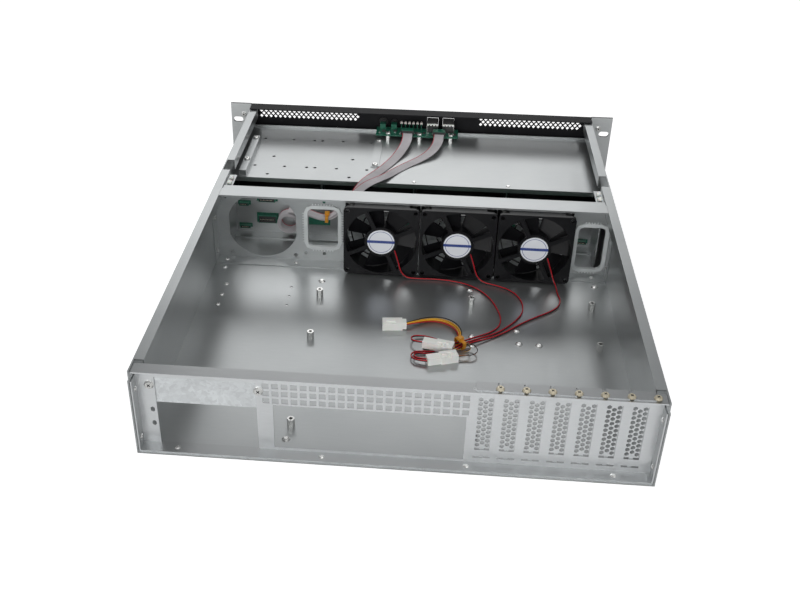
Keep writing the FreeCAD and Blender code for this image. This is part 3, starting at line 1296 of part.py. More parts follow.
def connectors():
    """A long four-pin housing, and two short plug-and-socket pairs, lying on the floor or on the leads."""
    floor = number("gauge")
    housing = Part.makeBox(20, 11, 8.4, FreeCAD.Vector(-24, -5.5, 0))
    neck = Part.makeBox(4, 9, 6.8, FreeCAD.Vector(-4, -4.5, 0.8))
    latch = Part.makeBox(9, 4, 1.2, FreeCAD.Vector(-20, -2, 8.4))
    pins = [Part.makeBox(6, 1.7, 1.7, FreeCAD.Vector(-24, -4.75 + 2.6 * i, 3.35)) for i in range(4)]
    long_one = housing.multiFuse([neck, latch]).cut(Part.makeCompound(pins)).removeSplitter()
    group("connector_long", [lying(long_one, 2.6, 208.0, floor, 5.7)])
    plug = Part.makeBox(13, 9, 7.6, FreeCAD.Vector(0, -4.5, 0.2))
    socket = Part.makeBox(17, 10.4, 8.4, FreeCAD.Vector(13, -5.2, 0))
    key = Part.makeBox(12, 3.4, 1.2, FreeCAD.Vector(14, -1.7, 8.4))
    notch = Part.makeBox(4, 5, 8.4, FreeCAD.Vector(19, -5.2, 6.6))
    pair = plug.multiFuse([socket, key]).cut(notch).removeSplitter()
    group("small_connectors", [lying(pair, 20.5, 175.0, floor + 2.2, -13.9),
                               lying(pair, 24.9, 149.0, floor, 18.4)])


def cable_ties():
    """Two ties: a band with a square head, one round the leads and one round the ribbons."""
    wide, thick = number("tie_width"), number("tie_band")

    def band(inner_width, inner_height):
        outer = Part.makeBox(wide, inner_width + 2 * thick, inner_height + 2 * thick,
                             FreeCAD.Vector(-wide / 2, -inner_width / 2 - thick, -thick))
        outer = outer.makeChamfer(thick, [e for e in outer.Edges if abs(e.tangentAt(0).x) > 0.9])
        inner = Part.makeBox(wide + 2, inner_width, inner_height, FreeCAD.Vector(-wide / 2 - 1, -inner_width / 2, 0))
        head = Part.makeBox(wide + 1.6, 4.6, 3.4, FreeCAD.Vector(-wide / 2 - 0.8, -2.3, inner_height + thick * 0.5))
        return outer.cut(inner).fuse(head).removeSplitter()

    leads = lying(band(11.6, 6.6), 56.4, 180.0, 2.2, 222)
    ribbons = lying(band(14.0, 5.4), -96.0, 376.0, 29.4, 0)
    group("cable_ties", [leads, ribbons])


COIL_SIDES = 20


def ribbon_coil():
    """The spare length of both ribbons, wound up and leaning on the backplane's bracket."""
    start = number("backplane_rear") - 0.3 - number("ribbon_width")
    centre = FreeCAD.Vector(-141.0, start, 21.0)
    section = Part.makeFace([ring(r * math.cos(math.pi / COIL_SIDES), 0, COIL_SIDES)
                             for r in (number("coil_radius"), number("coil_hollow"))],
                            "Part::FaceMakerBullseye")
    coil = section.extrude(FreeCAD.Vector(0, 0, number("ribbon_width")))
    coil.Placement = FreeCAD.Placement(centre, FreeCAD.Rotation(UP, FORWARD))
    group("ribbon_coil", [coil])


def wiring():
    lead = number("lead_diameter")
    for index, points in enumerate(FAN_LEADS):
        name = "fan_lead_%d" % (index + 1)
        group(name, [tube(name, points, lead)])
    branches = [tube("harness branch", points, lead * 0.9) for points in BRANCHES]
    trunk = tube("harness", HARNESS, number("harness_diameter"))
    group("harness_wires", [trunk.multiFuse(branches)])
    for index, points in enumerate(RIBBONS):
        name = "ribbon_%d" % (index + 1)
        group(name, [strip(name, points, number("ribbon_width"), number("ribbon_thickness"))])
    connectors()
    cable_ties()
    ribbon_coil()


def build():
    base_tray()
    rear_panel()
    psu_blank_plate()
    for index in range(int(number("slot_count"))):
        slot_cover(index)
    fan_wall()
    passage_trim("grommet_left", PASSAGES[0])
    passage_trim("grommet_right", PASSAGES[1])
    cross_beam()
    for index in range(int(number("fan_count"))):
        fan_frame(index)
        fan_rotor(index)
    fan_guards()
    bay_plate()
    bracket_left()
    bracket_middle()
    drive_cage()
    for row in range(2):
        for column in range(4):
            drive_tray(column, row)
    backplane_bracket()
    backplane_board()
    front_panel()
    button("power_button", "power_place", "power_radius")
    button("reset_button", "reset_place", "reset_radius")
    control_board()
    usb_sockets()
    for name, side in (("left", -1), ("right", 1)):
        rack_ear("rack_ear_" + name, side)
        handle("handle_" + name, side)
    fasteners()
    standoffs()
    rivets()
    wiring()


build()
doc.recompute()

broken = [item.Name for item in doc.Objects if any(word in item.State for word in ("Invalid", "Error"))]
if broken:
    raise SystemExit("failed features: " + ", ".join(broken))
for item in finished:
    if item.Shape.isNull() or not item.Shape.Solids or not item.Shape.isValid():
        raise SystemExit("not a valid shape: " + item.Label)

os.makedirs("parts", exist_ok=True)
for item in finished:
    item.Shape.exportStep("parts/%s.step" % item.Label)
print(len(finished), "sub-parts written")
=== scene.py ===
# %% [markdown]
# # An empty rackmount server case
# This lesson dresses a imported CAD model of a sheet-metal server case. The shapes come from CAD,
# and the finishes, the wires and the smallest pieces are made here. First the frame is loaded,
# and the size of the object is kept for later.

# %% Load the frame
import bmesh
import bpy
import json
import math
from mathutils import Matrix, Vector


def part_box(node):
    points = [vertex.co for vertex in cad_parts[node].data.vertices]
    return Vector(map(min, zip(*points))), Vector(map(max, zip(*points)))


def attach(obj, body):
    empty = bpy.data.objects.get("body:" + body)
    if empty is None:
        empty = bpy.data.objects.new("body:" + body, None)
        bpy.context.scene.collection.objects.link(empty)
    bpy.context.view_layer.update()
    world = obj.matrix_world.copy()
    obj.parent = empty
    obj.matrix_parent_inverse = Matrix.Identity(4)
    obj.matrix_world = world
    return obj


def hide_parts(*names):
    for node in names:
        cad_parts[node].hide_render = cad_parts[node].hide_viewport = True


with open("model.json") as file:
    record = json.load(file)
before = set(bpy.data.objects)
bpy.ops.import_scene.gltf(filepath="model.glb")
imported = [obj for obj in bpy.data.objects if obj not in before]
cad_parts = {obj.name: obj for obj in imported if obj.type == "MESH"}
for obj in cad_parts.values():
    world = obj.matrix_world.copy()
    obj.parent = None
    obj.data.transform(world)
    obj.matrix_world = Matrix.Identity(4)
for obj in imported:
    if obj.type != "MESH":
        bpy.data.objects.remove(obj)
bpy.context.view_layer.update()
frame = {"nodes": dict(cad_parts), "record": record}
nodes = frame["nodes"]

# %% [markdown]
# Lengths in this lesson are written in millimetres, as a sheet-metal worker would write them, with
# Y counted from the rear edge. Blender works in metres about the middle of the case, so one small
# function turns a written place into a Blender place.

# %% Millimetres to metres
MM = 0.001
HALF_LENGTH = 301.0


def spot(x, y, z):
    return Vector((x, y - HALF_LENGTH, z)) * MM


# %% [markdown]
# The photograph was taken from behind, a little to the right, looking down. The lens and the
# camera's place were worked out from the known sizes of the rack standard, so the camera stands
# where the real one stood.

# %% Camera
CAMERA_PLACE = (0.0214, -0.9202, 0.5667)
CAMERA_TURN = math.radians(4.580)
CAMERA_TILT = math.radians(32.341)
CAMERA_ROLL = math.radians(0.599)
FOCAL_PIXELS = 994.8
PICTURE_WIDTH = 800
PICTURE_HEIGHT = 600
OPTICAL_CENTRE = (359.5, 291.3)
SENSOR_WIDTH = 36.0

ahead = Vector((-math.sin(CAMERA_TURN) * math.cos(CAMERA_TILT),
                math.cos(CAMERA_TURN) * math.cos(CAMERA_TILT), -math.sin(CAMERA_TILT)))
right = Vector((math.cos(CAMERA_TURN), math.sin(CAMERA_TURN), 0))
down = ahead.cross(right)
rolled_right = right * math.cos(CAMERA_ROLL) - down * math.sin(CAMERA_ROLL)
rolled_down = right * math.sin(CAMERA_ROLL) + down * math.cos(CAMERA_ROLL)
camera_data = bpy.data.cameras.new("studio_camera")
camera_data.sensor_width = SENSOR_WIDTH
camera_data.lens = FOCAL_PIXELS / PICTURE_WIDTH * SENSOR_WIDTH
camera_data.shift_x = (PICTURE_WIDTH / 2 - OPTICAL_CENTRE[0]) / PICTURE_WIDTH
camera_data.shift_y = (OPTICAL_CENTRE[1] - PICTURE_HEIGHT / 2) / PICTURE_WIDTH
camera = bpy.data.objects.new("studio_camera", camera_data)
axes = Matrix((rolled_right, -rolled_down, -ahead)).transposed().to_4x4()
camera.matrix_world = Matrix.Translation(CAMERA_PLACE) @ axes
bpy.context.scene.collection.objects.link(camera)
bpy.context.scene.camera = camera
print("lens", round(camera_data.lens, 1), "mm")

# %% [markdown]
# The finishes share three effects: a rolled grain on sheet steel, the faint marks that hands and
# tools leave, and the fine skin of moulded plastic and paint. Each effect is a node group with
# named sockets, built once, and each material gives it its own values.

# %% A helper that starts a node group
def node_group(name, inputs, outputs):
    group = bpy.data.node_groups.new(name, "ShaderNodeTree")
    for label, value in inputs:
        socket = group.interface.new_socket(name=label, in_out="INPUT", socket_type="NodeSocketFloat")
        socket.default_value = value
    for label in outputs:
        group.interface.new_socket(name=label, in_out="OUTPUT", socket_type="NodeSocketFloat")
    return group, group.nodes.new("NodeGroupInput"), group.nodes.new("NodeGroupOutput")


def add(tree, kind, **values):
    """A node with some of its values or sockets set."""
    node = tree.nodes.new(kind)
    for key, value in values.items():
        if key in node.inputs:
            node.inputs[key].default_value = value
        else:
            setattr(node, key, value)
    return node


def noise_at(tree, scale, stretch, detail, roughness):
    """Noise on the object's own coordinates, drawn out along an axis. The scale is a number or a socket."""
    place = add(tree, "ShaderNodeTexCoord")
    mapping = add(tree, "ShaderNodeMapping", Scale=stretch)
    noise = add(tree, "ShaderNodeTexNoise", Detail=detail, Roughness=roughness)
    tree.links.new(place.outputs["Object"], mapping.inputs["Vector"])
    tree.links.new(mapping.outputs["Vector"], noise.inputs["Vector"])
    if isinstance(scale, float):
        noise.inputs["Scale"].default_value = scale
    else:
        tree.links.new(scale, noise.inputs["Scale"])
    return noise


# %% Rolled grain, handling marks and moulded skin
EVEN = (1.0, 1.0, 1.0)
DRAWN_ALONG_X = (1.0, 14.0, 14.0)
WIPED_ALONG_Y = (1.0, 0.35, 1.0)
CLOUD_SCALE = 9.0
SHADE_SCALE = 35.0
MARK_FULL_AT = 0.8

grain_group, start, end = node_group("rolled_grain", [("Fineness", 90.0)], ["Streak", "Cloud"])
streak = noise_at(grain_group, start.outputs["Fineness"], DRAWN_ALONG_X, 5.0, 0.7)
cloud = noise_at(grain_group, CLOUD_SCALE, EVEN, 2.0, 0.5)
grain_group.links.new(streak.outputs["Fac"], end.inputs["Streak"])
grain_group.links.new(cloud.outputs["Fac"], end.inputs["Cloud"])

marks_group, start, end = node_group("handling_marks", [("Spread", 22.0), ("Start", 0.52)], ["Mark"])
smear = noise_at(marks_group, start.outputs["Spread"], WIPED_ALONG_Y, 6.0, 0.65)
ramp = add(marks_group, "ShaderNodeMapRange")
marks_group.links.new(smear.outputs["Fac"], ramp.inputs["Value"])
marks_group.links.new(start.outputs["Start"], ramp.inputs["From Min"])
ramp.inputs["From Max"].default_value = MARK_FULL_AT
marks_group.links.new(ramp.outputs["Result"], end.inputs["Mark"])

skin_group, start, end = node_group("moulded_skin", [("Fineness", 900.0)], ["Height", "Shade"])
pits = noise_at(skin_group, start.outputs["Fineness"], EVEN, 2.0, 0.5)
tint = noise_at(skin_group, SHADE_SCALE, EVEN, 3.0, 0.6)
skin_group.links.new(pits.outputs["Fac"], end.inputs["Height"])
skin_group.links.new(tint.outputs["Fac"], end.inputs["Shade"])
print("shared effects:", [group.name for group in bpy.data.node_groups])

# %% [markdown]
# Every material starts the same way: a Principled shader whose colour runs between two tones under
# a mask, with a little bump. The metal share, coat and so on are set on the shader's own sockets,
# since they are the same all over.

# %% A helper that starts a material
def shader(name, metallic=0.0, **sockets):
    material = bpy.data.materials.new(name)
    material.use_nodes = True
    tree = material.node_tree
    principled = tree.nodes["Principled BSDF"]
    principled.inputs["Metallic"].default_value = metallic
    for label, value in sockets.items():
        principled.inputs[label.replace("_", " ")].default_value = value
    return material, tree, principled


def effect(tree, group, **values):
    node = tree.nodes.new("ShaderNodeGroup")
    node.node_tree = group
    for label, value in values.items():
        node.inputs[label].default_value = value
    return node


def two_tones(tree, mask, low, high, low_at=0.3, high_at=0.7):
    """A colour ramp between two tones, driven by a mask."""
    ramp = tree.nodes.new("ShaderNodeValToRGB")
    ramp.color_ramp.elements[0].position = low_at
    ramp.color_ramp.elements[1].position = high_at
    ramp.color_ramp.elements[0].color = (*low, 1)
    ramp.color_ramp.elements[1].color = (*high, 1)
    tree.links.new(mask, ramp.inputs["Fac"])
    return ramp.outputs["Color"]


def spread_between(tree, mask, low, high):
    """A value that runs from low to high with a mask."""
    node = add(tree, "ShaderNodeMapRange")
    node.inputs["To Min"].default_value = low
    node.inputs["To Max"].default_value = high
    tree.links.new(mask, node.inputs["Value"])
    return node.outputs["Result"]


def weighted_sum(tree, first, first_share, second, second_share):
    """The sum of two masks, each times its share."""
    total = add(tree, "ShaderNodeMath", operation="MULTIPLY_ADD")
    total.inputs[1].default_value = first_share
    tree.links.new(first, total.inputs[0])
    rest = add(tree, "ShaderNodeMath", operation="MULTIPLY")
    rest.inputs[1].default_value = second_share
    tree.links.new(second, rest.inputs[0])
    tree.links.new(rest.outputs[0], total.inputs[2])
    return total.outputs[0]


def within(tree, value, middle, margin):
    """A mask that is 1 where a value lies within a margin of a middle value."""
    node = add(tree, "ShaderNodeMath", operation="COMPARE")
    node.inputs[1].default_value = middle
    node.inputs[2].default_value = margin
    tree.links.new(value, node.inputs[0])
    return node.outputs[0]


def relief(tree, principled, height, strength, depth):
    """A bump of the given depth in metres, on the shader's normal."""
    bump = add(tree, "ShaderNodeBump", Strength=strength, Distance=depth)
    tree.links.new(height, bump.inputs["Height"])
    tree.links.new(bump.outputs["Normal"], principled.inputs["Normal"])


# %% [markdown]
# The case is folded from zinc-plated steel: a cool, satin grey with a rolled grain, slightly cloudy,
# and a little duller where it was handled. The same recipe, with other values, serves the bar of the
# handles, the plated screws and the shells of the sockets.

# %% Bare and plated metals
GRAIN_DEPTH = 0.2 * MM
STREAK_SHARE, CLOUD_SHARE = 0.35, 0.65


def plated_metal(name, dark, light, rough_low, rough_high, fineness, grain, metallic):
    material, tree, principled = shader(name, metallic)
    grained = effect(tree, grain_group, Fineness=fineness)
    marked = effect(tree, marks_group, Spread=18.0)
    shade = weighted_sum(tree, grained.outputs["Streak"], STREAK_SHARE, grained.outputs["Cloud"], CLOUD_SHARE)
    tree.links.new(two_tones(tree, shade, dark, light), principled.inputs["Base Color"])
    tree.links.new(spread_between(tree, marked.outputs["Mark"], rough_low, rough_high),
                   principled.inputs["Roughness"])
    relief(tree, principled, grained.outputs["Streak"], grain, GRAIN_DEPTH)
    return material


# Each metal: its dark and light tone, its least and greatest roughness, the fineness and the strength
# of its grain, and its metal share.
SHEET_GRAIN = (90.0, 0.03)
METALS = {
    "galvanised": ("zinc_plated_sheet", (0.38, 0.395, 0.40), (0.46, 0.475, 0.475), 0.30, 0.35, *SHEET_GRAIN, 0.85),
    "nickel": ("nickel_plate", (0.78, 0.78, 0.76), (0.88, 0.88, 0.86), 0.22, 0.32, 200.0, 0.05, 0.9),
    "gold_zinc": ("yellow_zinc", (0.64, 0.57, 0.42), (0.78, 0.71, 0.55), 0.28, 0.40, 200.0, 0.05, 0.8),
    "grip_metal": ("satin_bar", (0.50, 0.50, 0.51), (0.64, 0.64, 0.65), 0.26, 0.36, 160.0, 0.1, 1.0),
    "guard_wire": ("guard_wire", (0.10, 0.10, 0.10), (0.22, 0.22, 0.22), 0.25, 0.4, 160.0, 0.05, 0.9),
}
FINISH = {finish: plated_metal(*values) for finish, values in METALS.items()}
print(len(FINISH), "metals")

# %% [markdown]
# The small plate over the supply opening is hot-dipped instead. Its zinc froze in flat crystals,
# which Voronoi cells give: each cell has its own shade and its own gloss.

# %% Mottled zinc
def spangled_zinc():
    material, tree, principled = shader("hot_dipped_zinc", 0.7)
    place = add(tree, "ShaderNodeTexCoord")
    bend = add(tree, "ShaderNodeTexNoise", Scale=60.0, Detail=3.0)
    mix = add(tree, "ShaderNodeMix", data_type="VECTOR", Factor=0.02)
    cells = add(tree, "ShaderNodeTexVoronoi", Scale=340.0, Randomness=1.0)
    tree.links.new(place.outputs["Object"], bend.inputs["Vector"])
    tree.links.new(place.outputs["Object"], mix.inputs[4])
    tree.links.new(bend.outputs["Color"], mix.inputs[5])
    tree.links.new(mix.outputs[1], cells.inputs["Vector"])
    veins = add(tree, "ShaderNodeTexNoise", Scale=85.0, Detail=6.0, Roughness=0.7)
    tree.links.new(place.outputs["Object"], veins.inputs["Vector"])
    mottle = weighted_sum(tree, cells.outputs["Color"], 0.45, veins.outputs["Fac"], 0.6)
    tree.links.new(two_tones(tree, mottle, (0.60, 0.62, 0.63), (0.74, 0.77, 0.78), 0.3, 0.72),
                   principled.inputs["Base Color"])
    tree.links.new(spread_between(tree, mottle, 0.28, 0.55), principled.inputs["Roughness"])
    return material


FINISH["spangled"] = spangled_zinc()

# %% [markdown]
# Paint, moulded plastic, nylon and wire skins are not metals. They share the fine skin effect: its
# pits give the bump, and its slow shade keeps the colour from being one flat value.

# %% Paint and plastics
SKIN_DEPTH = 0.1 * MM


def skinned(name, dark, light, roughness, fineness, bump, **sockets):
    material, tree, principled = shader(name, **sockets)
    skin = effect(tree, skin_group, Fineness=fineness)
    tree.links.new(two_tones(tree, skin.outputs["Shade"], dark, light), principled.inputs["Base Color"])
    tree.links.new(spread_between(tree, skin.outputs["Shade"], roughness - 0.05, roughness + 0.07),
                   principled.inputs["Roughness"])
    relief(tree, principled, skin.outputs["Height"], bump, SKIN_DEPTH)
    return material


FINISH["black_paint"] = skinned("black_powder_coat", (0.008, 0.008, 0.009), (0.015, 0.015, 0.017), 0.5, 1400.0, 0.3,
                                 Specular_IOR_Level=0.12)
FINISH["tray_metal"] = skinned("carrier_black", (0.016, 0.016, 0.018), (0.028, 0.028, 0.03), 0.42, 1200.0, 0.2)
FINISH["fan_plastic"] = skinned("fan_black", (0.004, 0.004, 0.005), (0.008, 0.008, 0.009), 0.34, 1100.0, 0.12,
                                 Specular_IOR_Level=0.2)
FINISH["dark_plastic"] = skinned("key_black", (0.02, 0.02, 0.02), (0.035, 0.035, 0.035), 0.3, 900.0, 0.05)
FINISH["trim_plastic"] = skinned("pale_edge_trim", (0.50, 0.53, 0.53), (0.66, 0.69, 0.69), 0.42, 700.0, 0.1)
FINISH["white_nylon"] = skinned("white_nylon", (0.82, 0.82, 0.78), (0.90, 0.90, 0.86), 0.36, 800.0, 0.08,
                                Subsurface_Weight=0.1, Subsurface_Scale=0.002)
FINISH["tie_orange"] = skinned("orange_tape", (0.56, 0.22, 0.01), (0.78, 0.36, 0.03), 0.4, 900.0, 0.15)
FINISH["wire_red"] = skinned("wire_red", (0.42, 0.003, 0.010), (0.56, 0.006, 0.018), 0.32, 500.0, 0.05,
                              Specular_IOR_Level=0.35)
wire_black = skinned("wire_black", (0.008, 0.008, 0.009), (0.016, 0.016, 0.018), 0.32, 500.0, 0.05)
wire_yellow = skinned("wire_yellow", (0.80, 0.36, 0.01), (0.90, 0.50, 0.03), 0.32, 500.0, 0.05)
wire_orange = skinned("wire_orange", (0.62, 0.15, 0.008), (0.75, 0.22, 0.012), 0.32, 500.0, 0.05)
FINISH["wire_mixed"] = wire_yellow
FINISH["ribbon_grey"] = skinned("ribbon_grey", (0.50, 0.48, 0.49), (0.64, 0.61, 0.63), 0.42, 600.0, 0.08)
ribbon_red = skinned("ribbon_red_edge", (0.45, 0.03, 0.05), (0.58, 0.06, 0.08), 0.42, 600.0, 0.08)
# Painted shade: a near-black finish that stands for the shade inside the screws' cross recesses.
painted_recess_shade = skinned("painted_recess_shade", (0.003, 0.003, 0.003), (0.006, 0.006, 0.006), 0.8, 900.0, 0.05)
print(len(FINISH), "finishes so far")

# %% [markdown]
# A circuit board is green lacquer over copper. The copper runs show through as slightly lighter
# straight lines, which a brick pattern gives.

# %% Circuit board
def lacquered_board():
    material, tree, principled = shader("green_board", Coat_Weight=0.3, Coat_Roughness=0.2)
    place = add(tree, "ShaderNodeTexCoord")
    turn = add(tree, "ShaderNodeMapping", Rotation=(math.radians(90), 0, 0))
    runs = add(tree, "ShaderNodeTexBrick", Scale=420.0)
    runs.inputs["Mortar Size"].default_value = 0.02
    runs.inputs["Color1"].default_value = (0.004, 0.075, 0.045, 1)
    runs.inputs["Color2"].default_value = (0.006, 0.11, 0.065, 1)
    runs.inputs["Mortar"].default_value = (0.02, 0.20, 0.12, 1)
    tree.links.new(place.outputs["Object"], turn.inputs["Vector"])
    tree.links.new(turn.outputs["Vector"], runs.inputs["Vector"])
    tree.links.new(runs.outputs["Color"], principled.inputs["Base Color"])
    skin = effect(tree, skin_group, Fineness=600.0)
    tree.links.new(spread_between(tree, skin.outputs["Shade"], 0.3, 0.42), principled.inputs["Roughness"])
    relief(tree, principled, runs.outputs["Fac"], 0.2, SKIN_DEPTH)
    return material


FINISH["board"] = lacquered_board()

# %% [markdown]
# A few nodes wear a finish of their own instead of their slot's. The rear panel and the slot covers
# face the bright end of the studio, so they wear a lighter copy of the sheet steel: painted light on the faces
# that look to the rear, and painted shade on their other faces. The rack ears are painted black, and only their rear
# faces are bare.

# %% Rear faces: bare on the ears, painted light on the rear panel and covers
REAR_METALLIC = 0.9
REAR_LIMIT = -0.5
FINISH["half_painted"] = plated_metal("painted_ear", (0.58, 0.60, 0.60), (0.70, 0.72, 0.72), 0.30, 0.36,
                                      *SHEET_GRAIN, REAR_METALLIC)
# Painted light: a lighter copy of the zinc-plated sheet for the rear panel and slot covers, whose rear faces mirror
# the bright studio behind the camera.
FINISH["painted_light_steel"] = plated_metal("painted_light_steel", (0.76, 0.78, 0.79), (0.88, 0.90, 0.91), 0.30, 0.38,
                                     *SHEET_GRAIN, REAR_METALLIC)


def paint_or_shade_off_the_rear(material, share, metallic):
    """Darken every face of a metal except those that look to the rear, and set its metal share there: black paint on
    the ears, painted shade on the rear panel and slot covers.
    """
    tree = material.node_tree
    principled = tree.nodes["Principled BSDF"]
    place = add(tree, "ShaderNodeTexCoord")
    parts = add(tree, "ShaderNodeSeparateXYZ")
    tree.links.new(place.outputs["Normal"], parts.inputs["Vector"])
    elsewhere = add(tree, "ShaderNodeMath", operation="GREATER_THAN")
    elsewhere.inputs[1].default_value = REAR_LIMIT
    tree.links.new(parts.outputs["Y"], elsewhere.inputs[0])
    tones = add(tree, "ShaderNodeMix", data_type="RGBA", blend_type="MULTIPLY")
    tones.inputs[7].default_value = (share, share, share, 1)
    tree.links.new(principled.inputs["Base Color"].links[0].from_socket, tones.inputs[6])
    tree.links.new(elsewhere.outputs[0], tones.inputs[0])
    tree.links.new(tones.outputs[2], principled.inputs["Base Color"])
    tree.links.new(spread_between(tree, elsewhere.outputs[0], REAR_METALLIC, metallic),
                   principled.inputs["Metallic"])


# The ears get black paint off the rear; the rear panel and slot covers get painted shade there, about half as light.
paint_or_shade_off_the_rear(FINISH["half_painted"], 0.02, 0.0)
paint_or_shade_off_the_rear(FINISH["painted_light_steel"], 0.48, 0.85)
# The ears wear their two-tone paint; the rear panel and slot covers wear the painted light and shade.
OWN_LOOK = {"slot_cover": "painted_light_steel", "rear_panel": "painted_light_steel", "rack_ear_left": "half_painted",
            "rack_ear_right": "half_painted"}

# %% [markdown]
# Now every CAD node takes its finish: the one of its material slot, or its own look.

# %% Finishes on the CAD nodes
for part in frame["record"]["subparts"]:
    mesh = nodes[part["node"]].data
    mesh.materials.clear()
    finish = OWN_LOOK.get(part["node"].rstrip("_1234567"), part["material_slot"])
    mesh.materials.append(FINISH[finish])
print(len(nodes), "CAD nodes have their finish")

# %% [markdown]
# The wires come next, because they are the only flexible things here. A cord's route is a short list
# of places, the same ones as in the CAD source. They are the control points of a NURBS
# curve, which rounds them into one smooth line.

# %% A smooth line along a route
LINE_STEPS = 8


def smooth_line(name, route, steps=LINE_STEPS):
    """The points of the NURBS curve whose control points are the route's places."""
    data = bpy.data.curves.new(name, "CURVE")
    data.dimensions = "3D"
    spline = data.splines.new("NURBS")
    spline.points.add(len(route) - 1)
    for point, place in zip(spline.points, route):
        point.co = (*spot(*place), 1)
    spline.order_u = 3
    spline.use_endpoint_u = True
    spline.resolution_u = steps
    curve = bpy.data.objects.new(name, data)
    bpy.context.scene.collection.objects.link(curve)
    bpy.context.view_layer.update()
    graph = bpy.context.evaluated_depsgraph_get()
    mesh = bpy.data.meshes.new_from_object(curve.evaluated_get(graph))
    line = [vertex.co.copy() for vertex in mesh.vertices]
    bpy.data.meshes.remove(mesh)
    bpy.data.objects.remove(curve)
    return line


def line_length(line):
    return sum((b - a).length for a, b in zip(line, line[1:]))


# %% [markdown]
# Each cord holds several round strands. A strand is a curve with a round bevel that runs beside the
# cord's smooth line, level with it or turning slowly about it. The strands of a cord are then joined
# in one mesh, with one material for each colour.

# %% Strands beside a line
UP = Vector((0, 0, 1))


def beside(line, across, lift, turns=0.0, sideways=None, swell=0.0):
    """The line moved sideways and upwards, and wound about itself by a number of turns.

    A swell spreads the strands apart in the middle and leaves the ends together."""
    out = []
    for i, point in enumerate(line):
        heading = (line[min(i + 1, len(line) - 1)] - line[max(i - 1, 0)]).normalized()
        side = sideways.copy() if sideways else heading.cross(UP).normalized()
        rise = side.cross(heading).normalized()
        angle = 2 * math.pi * turns * i / (len(line) - 1)
        spread = 1 + swell * math.sin(math.pi * i / (len(line) - 1))
        a = spread * (across * math.cos(angle) - lift * math.sin(angle))
        b = spread * (across * math.sin(angle) + lift * math.cos(angle))
        out.append(point + side * a + rise * b)
    return out


def strand_mesh(line, radius, roundness):
    data = bpy.data.curves.new("strand", "CURVE")
    data.dimensions = "3D"
    data.bevel_depth = radius
    data.bevel_resolution = roundness
    data.use_fill_caps = True
    spline = data.splines.new("POLY")
    spline.points.add(len(line) - 1)
    for point, place in zip(spline.points, line):
        point.co = (*place, 1)
    curve = bpy.data.objects.new("strand", data)
    bpy.context.scene.collection.objects.link(curve)
    bpy.context.view_layer.update()
    graph = bpy.context.evaluated_depsgraph_get()
    mesh = bpy.data.meshes.new_from_object(curve.evaluated_get(graph))
    bpy.data.objects.remove(curve)
    return mesh


def keep(name, bm, finishes, body="case"):
    """Turn a bmesh into a finished piece that moves with a body."""
    mesh = bpy.data.meshes.new(name)
    bm.to_mesh(mesh)
    bm.free()
    for finish in finishes:
        mesh.materials.append(finish)
    piece = bpy.data.objects.new(name, mesh)
    bpy.context.scene.collection.objects.link(piece)
    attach(piece, body)
    return piece


def bundle(name, line, strands, finishes, turns=0.0, roundness=2, sideways=None, swell=0.0):
    """Strands of (across, lift, radius, finish number), all in millimetres, as one smooth mesh."""
    bm = bmesh.new()
    for across, lift, radius, finish in strands:
        mesh = strand_mesh(beside(line, across * MM, lift * MM, turns, sideways, swell), radius * MM, roundness)
        first = len(bm.faces)
        bm.from_mesh(mesh)
        bpy.data.meshes.remove(mesh)
        bm.faces.ensure_lookup_table()
        for face in bm.faces[first:]:
            face.material_index = finish
            face.smooth = True
    return keep(name, bm, finishes)


# %% [markdown]
# Each fan has one lead of two thin wires, red and black, which lie together with the red one on top.
# It leaves the fan's hub, drops over the frame, wanders along the floor, passes through the tie and
# bends back to the white connectors.

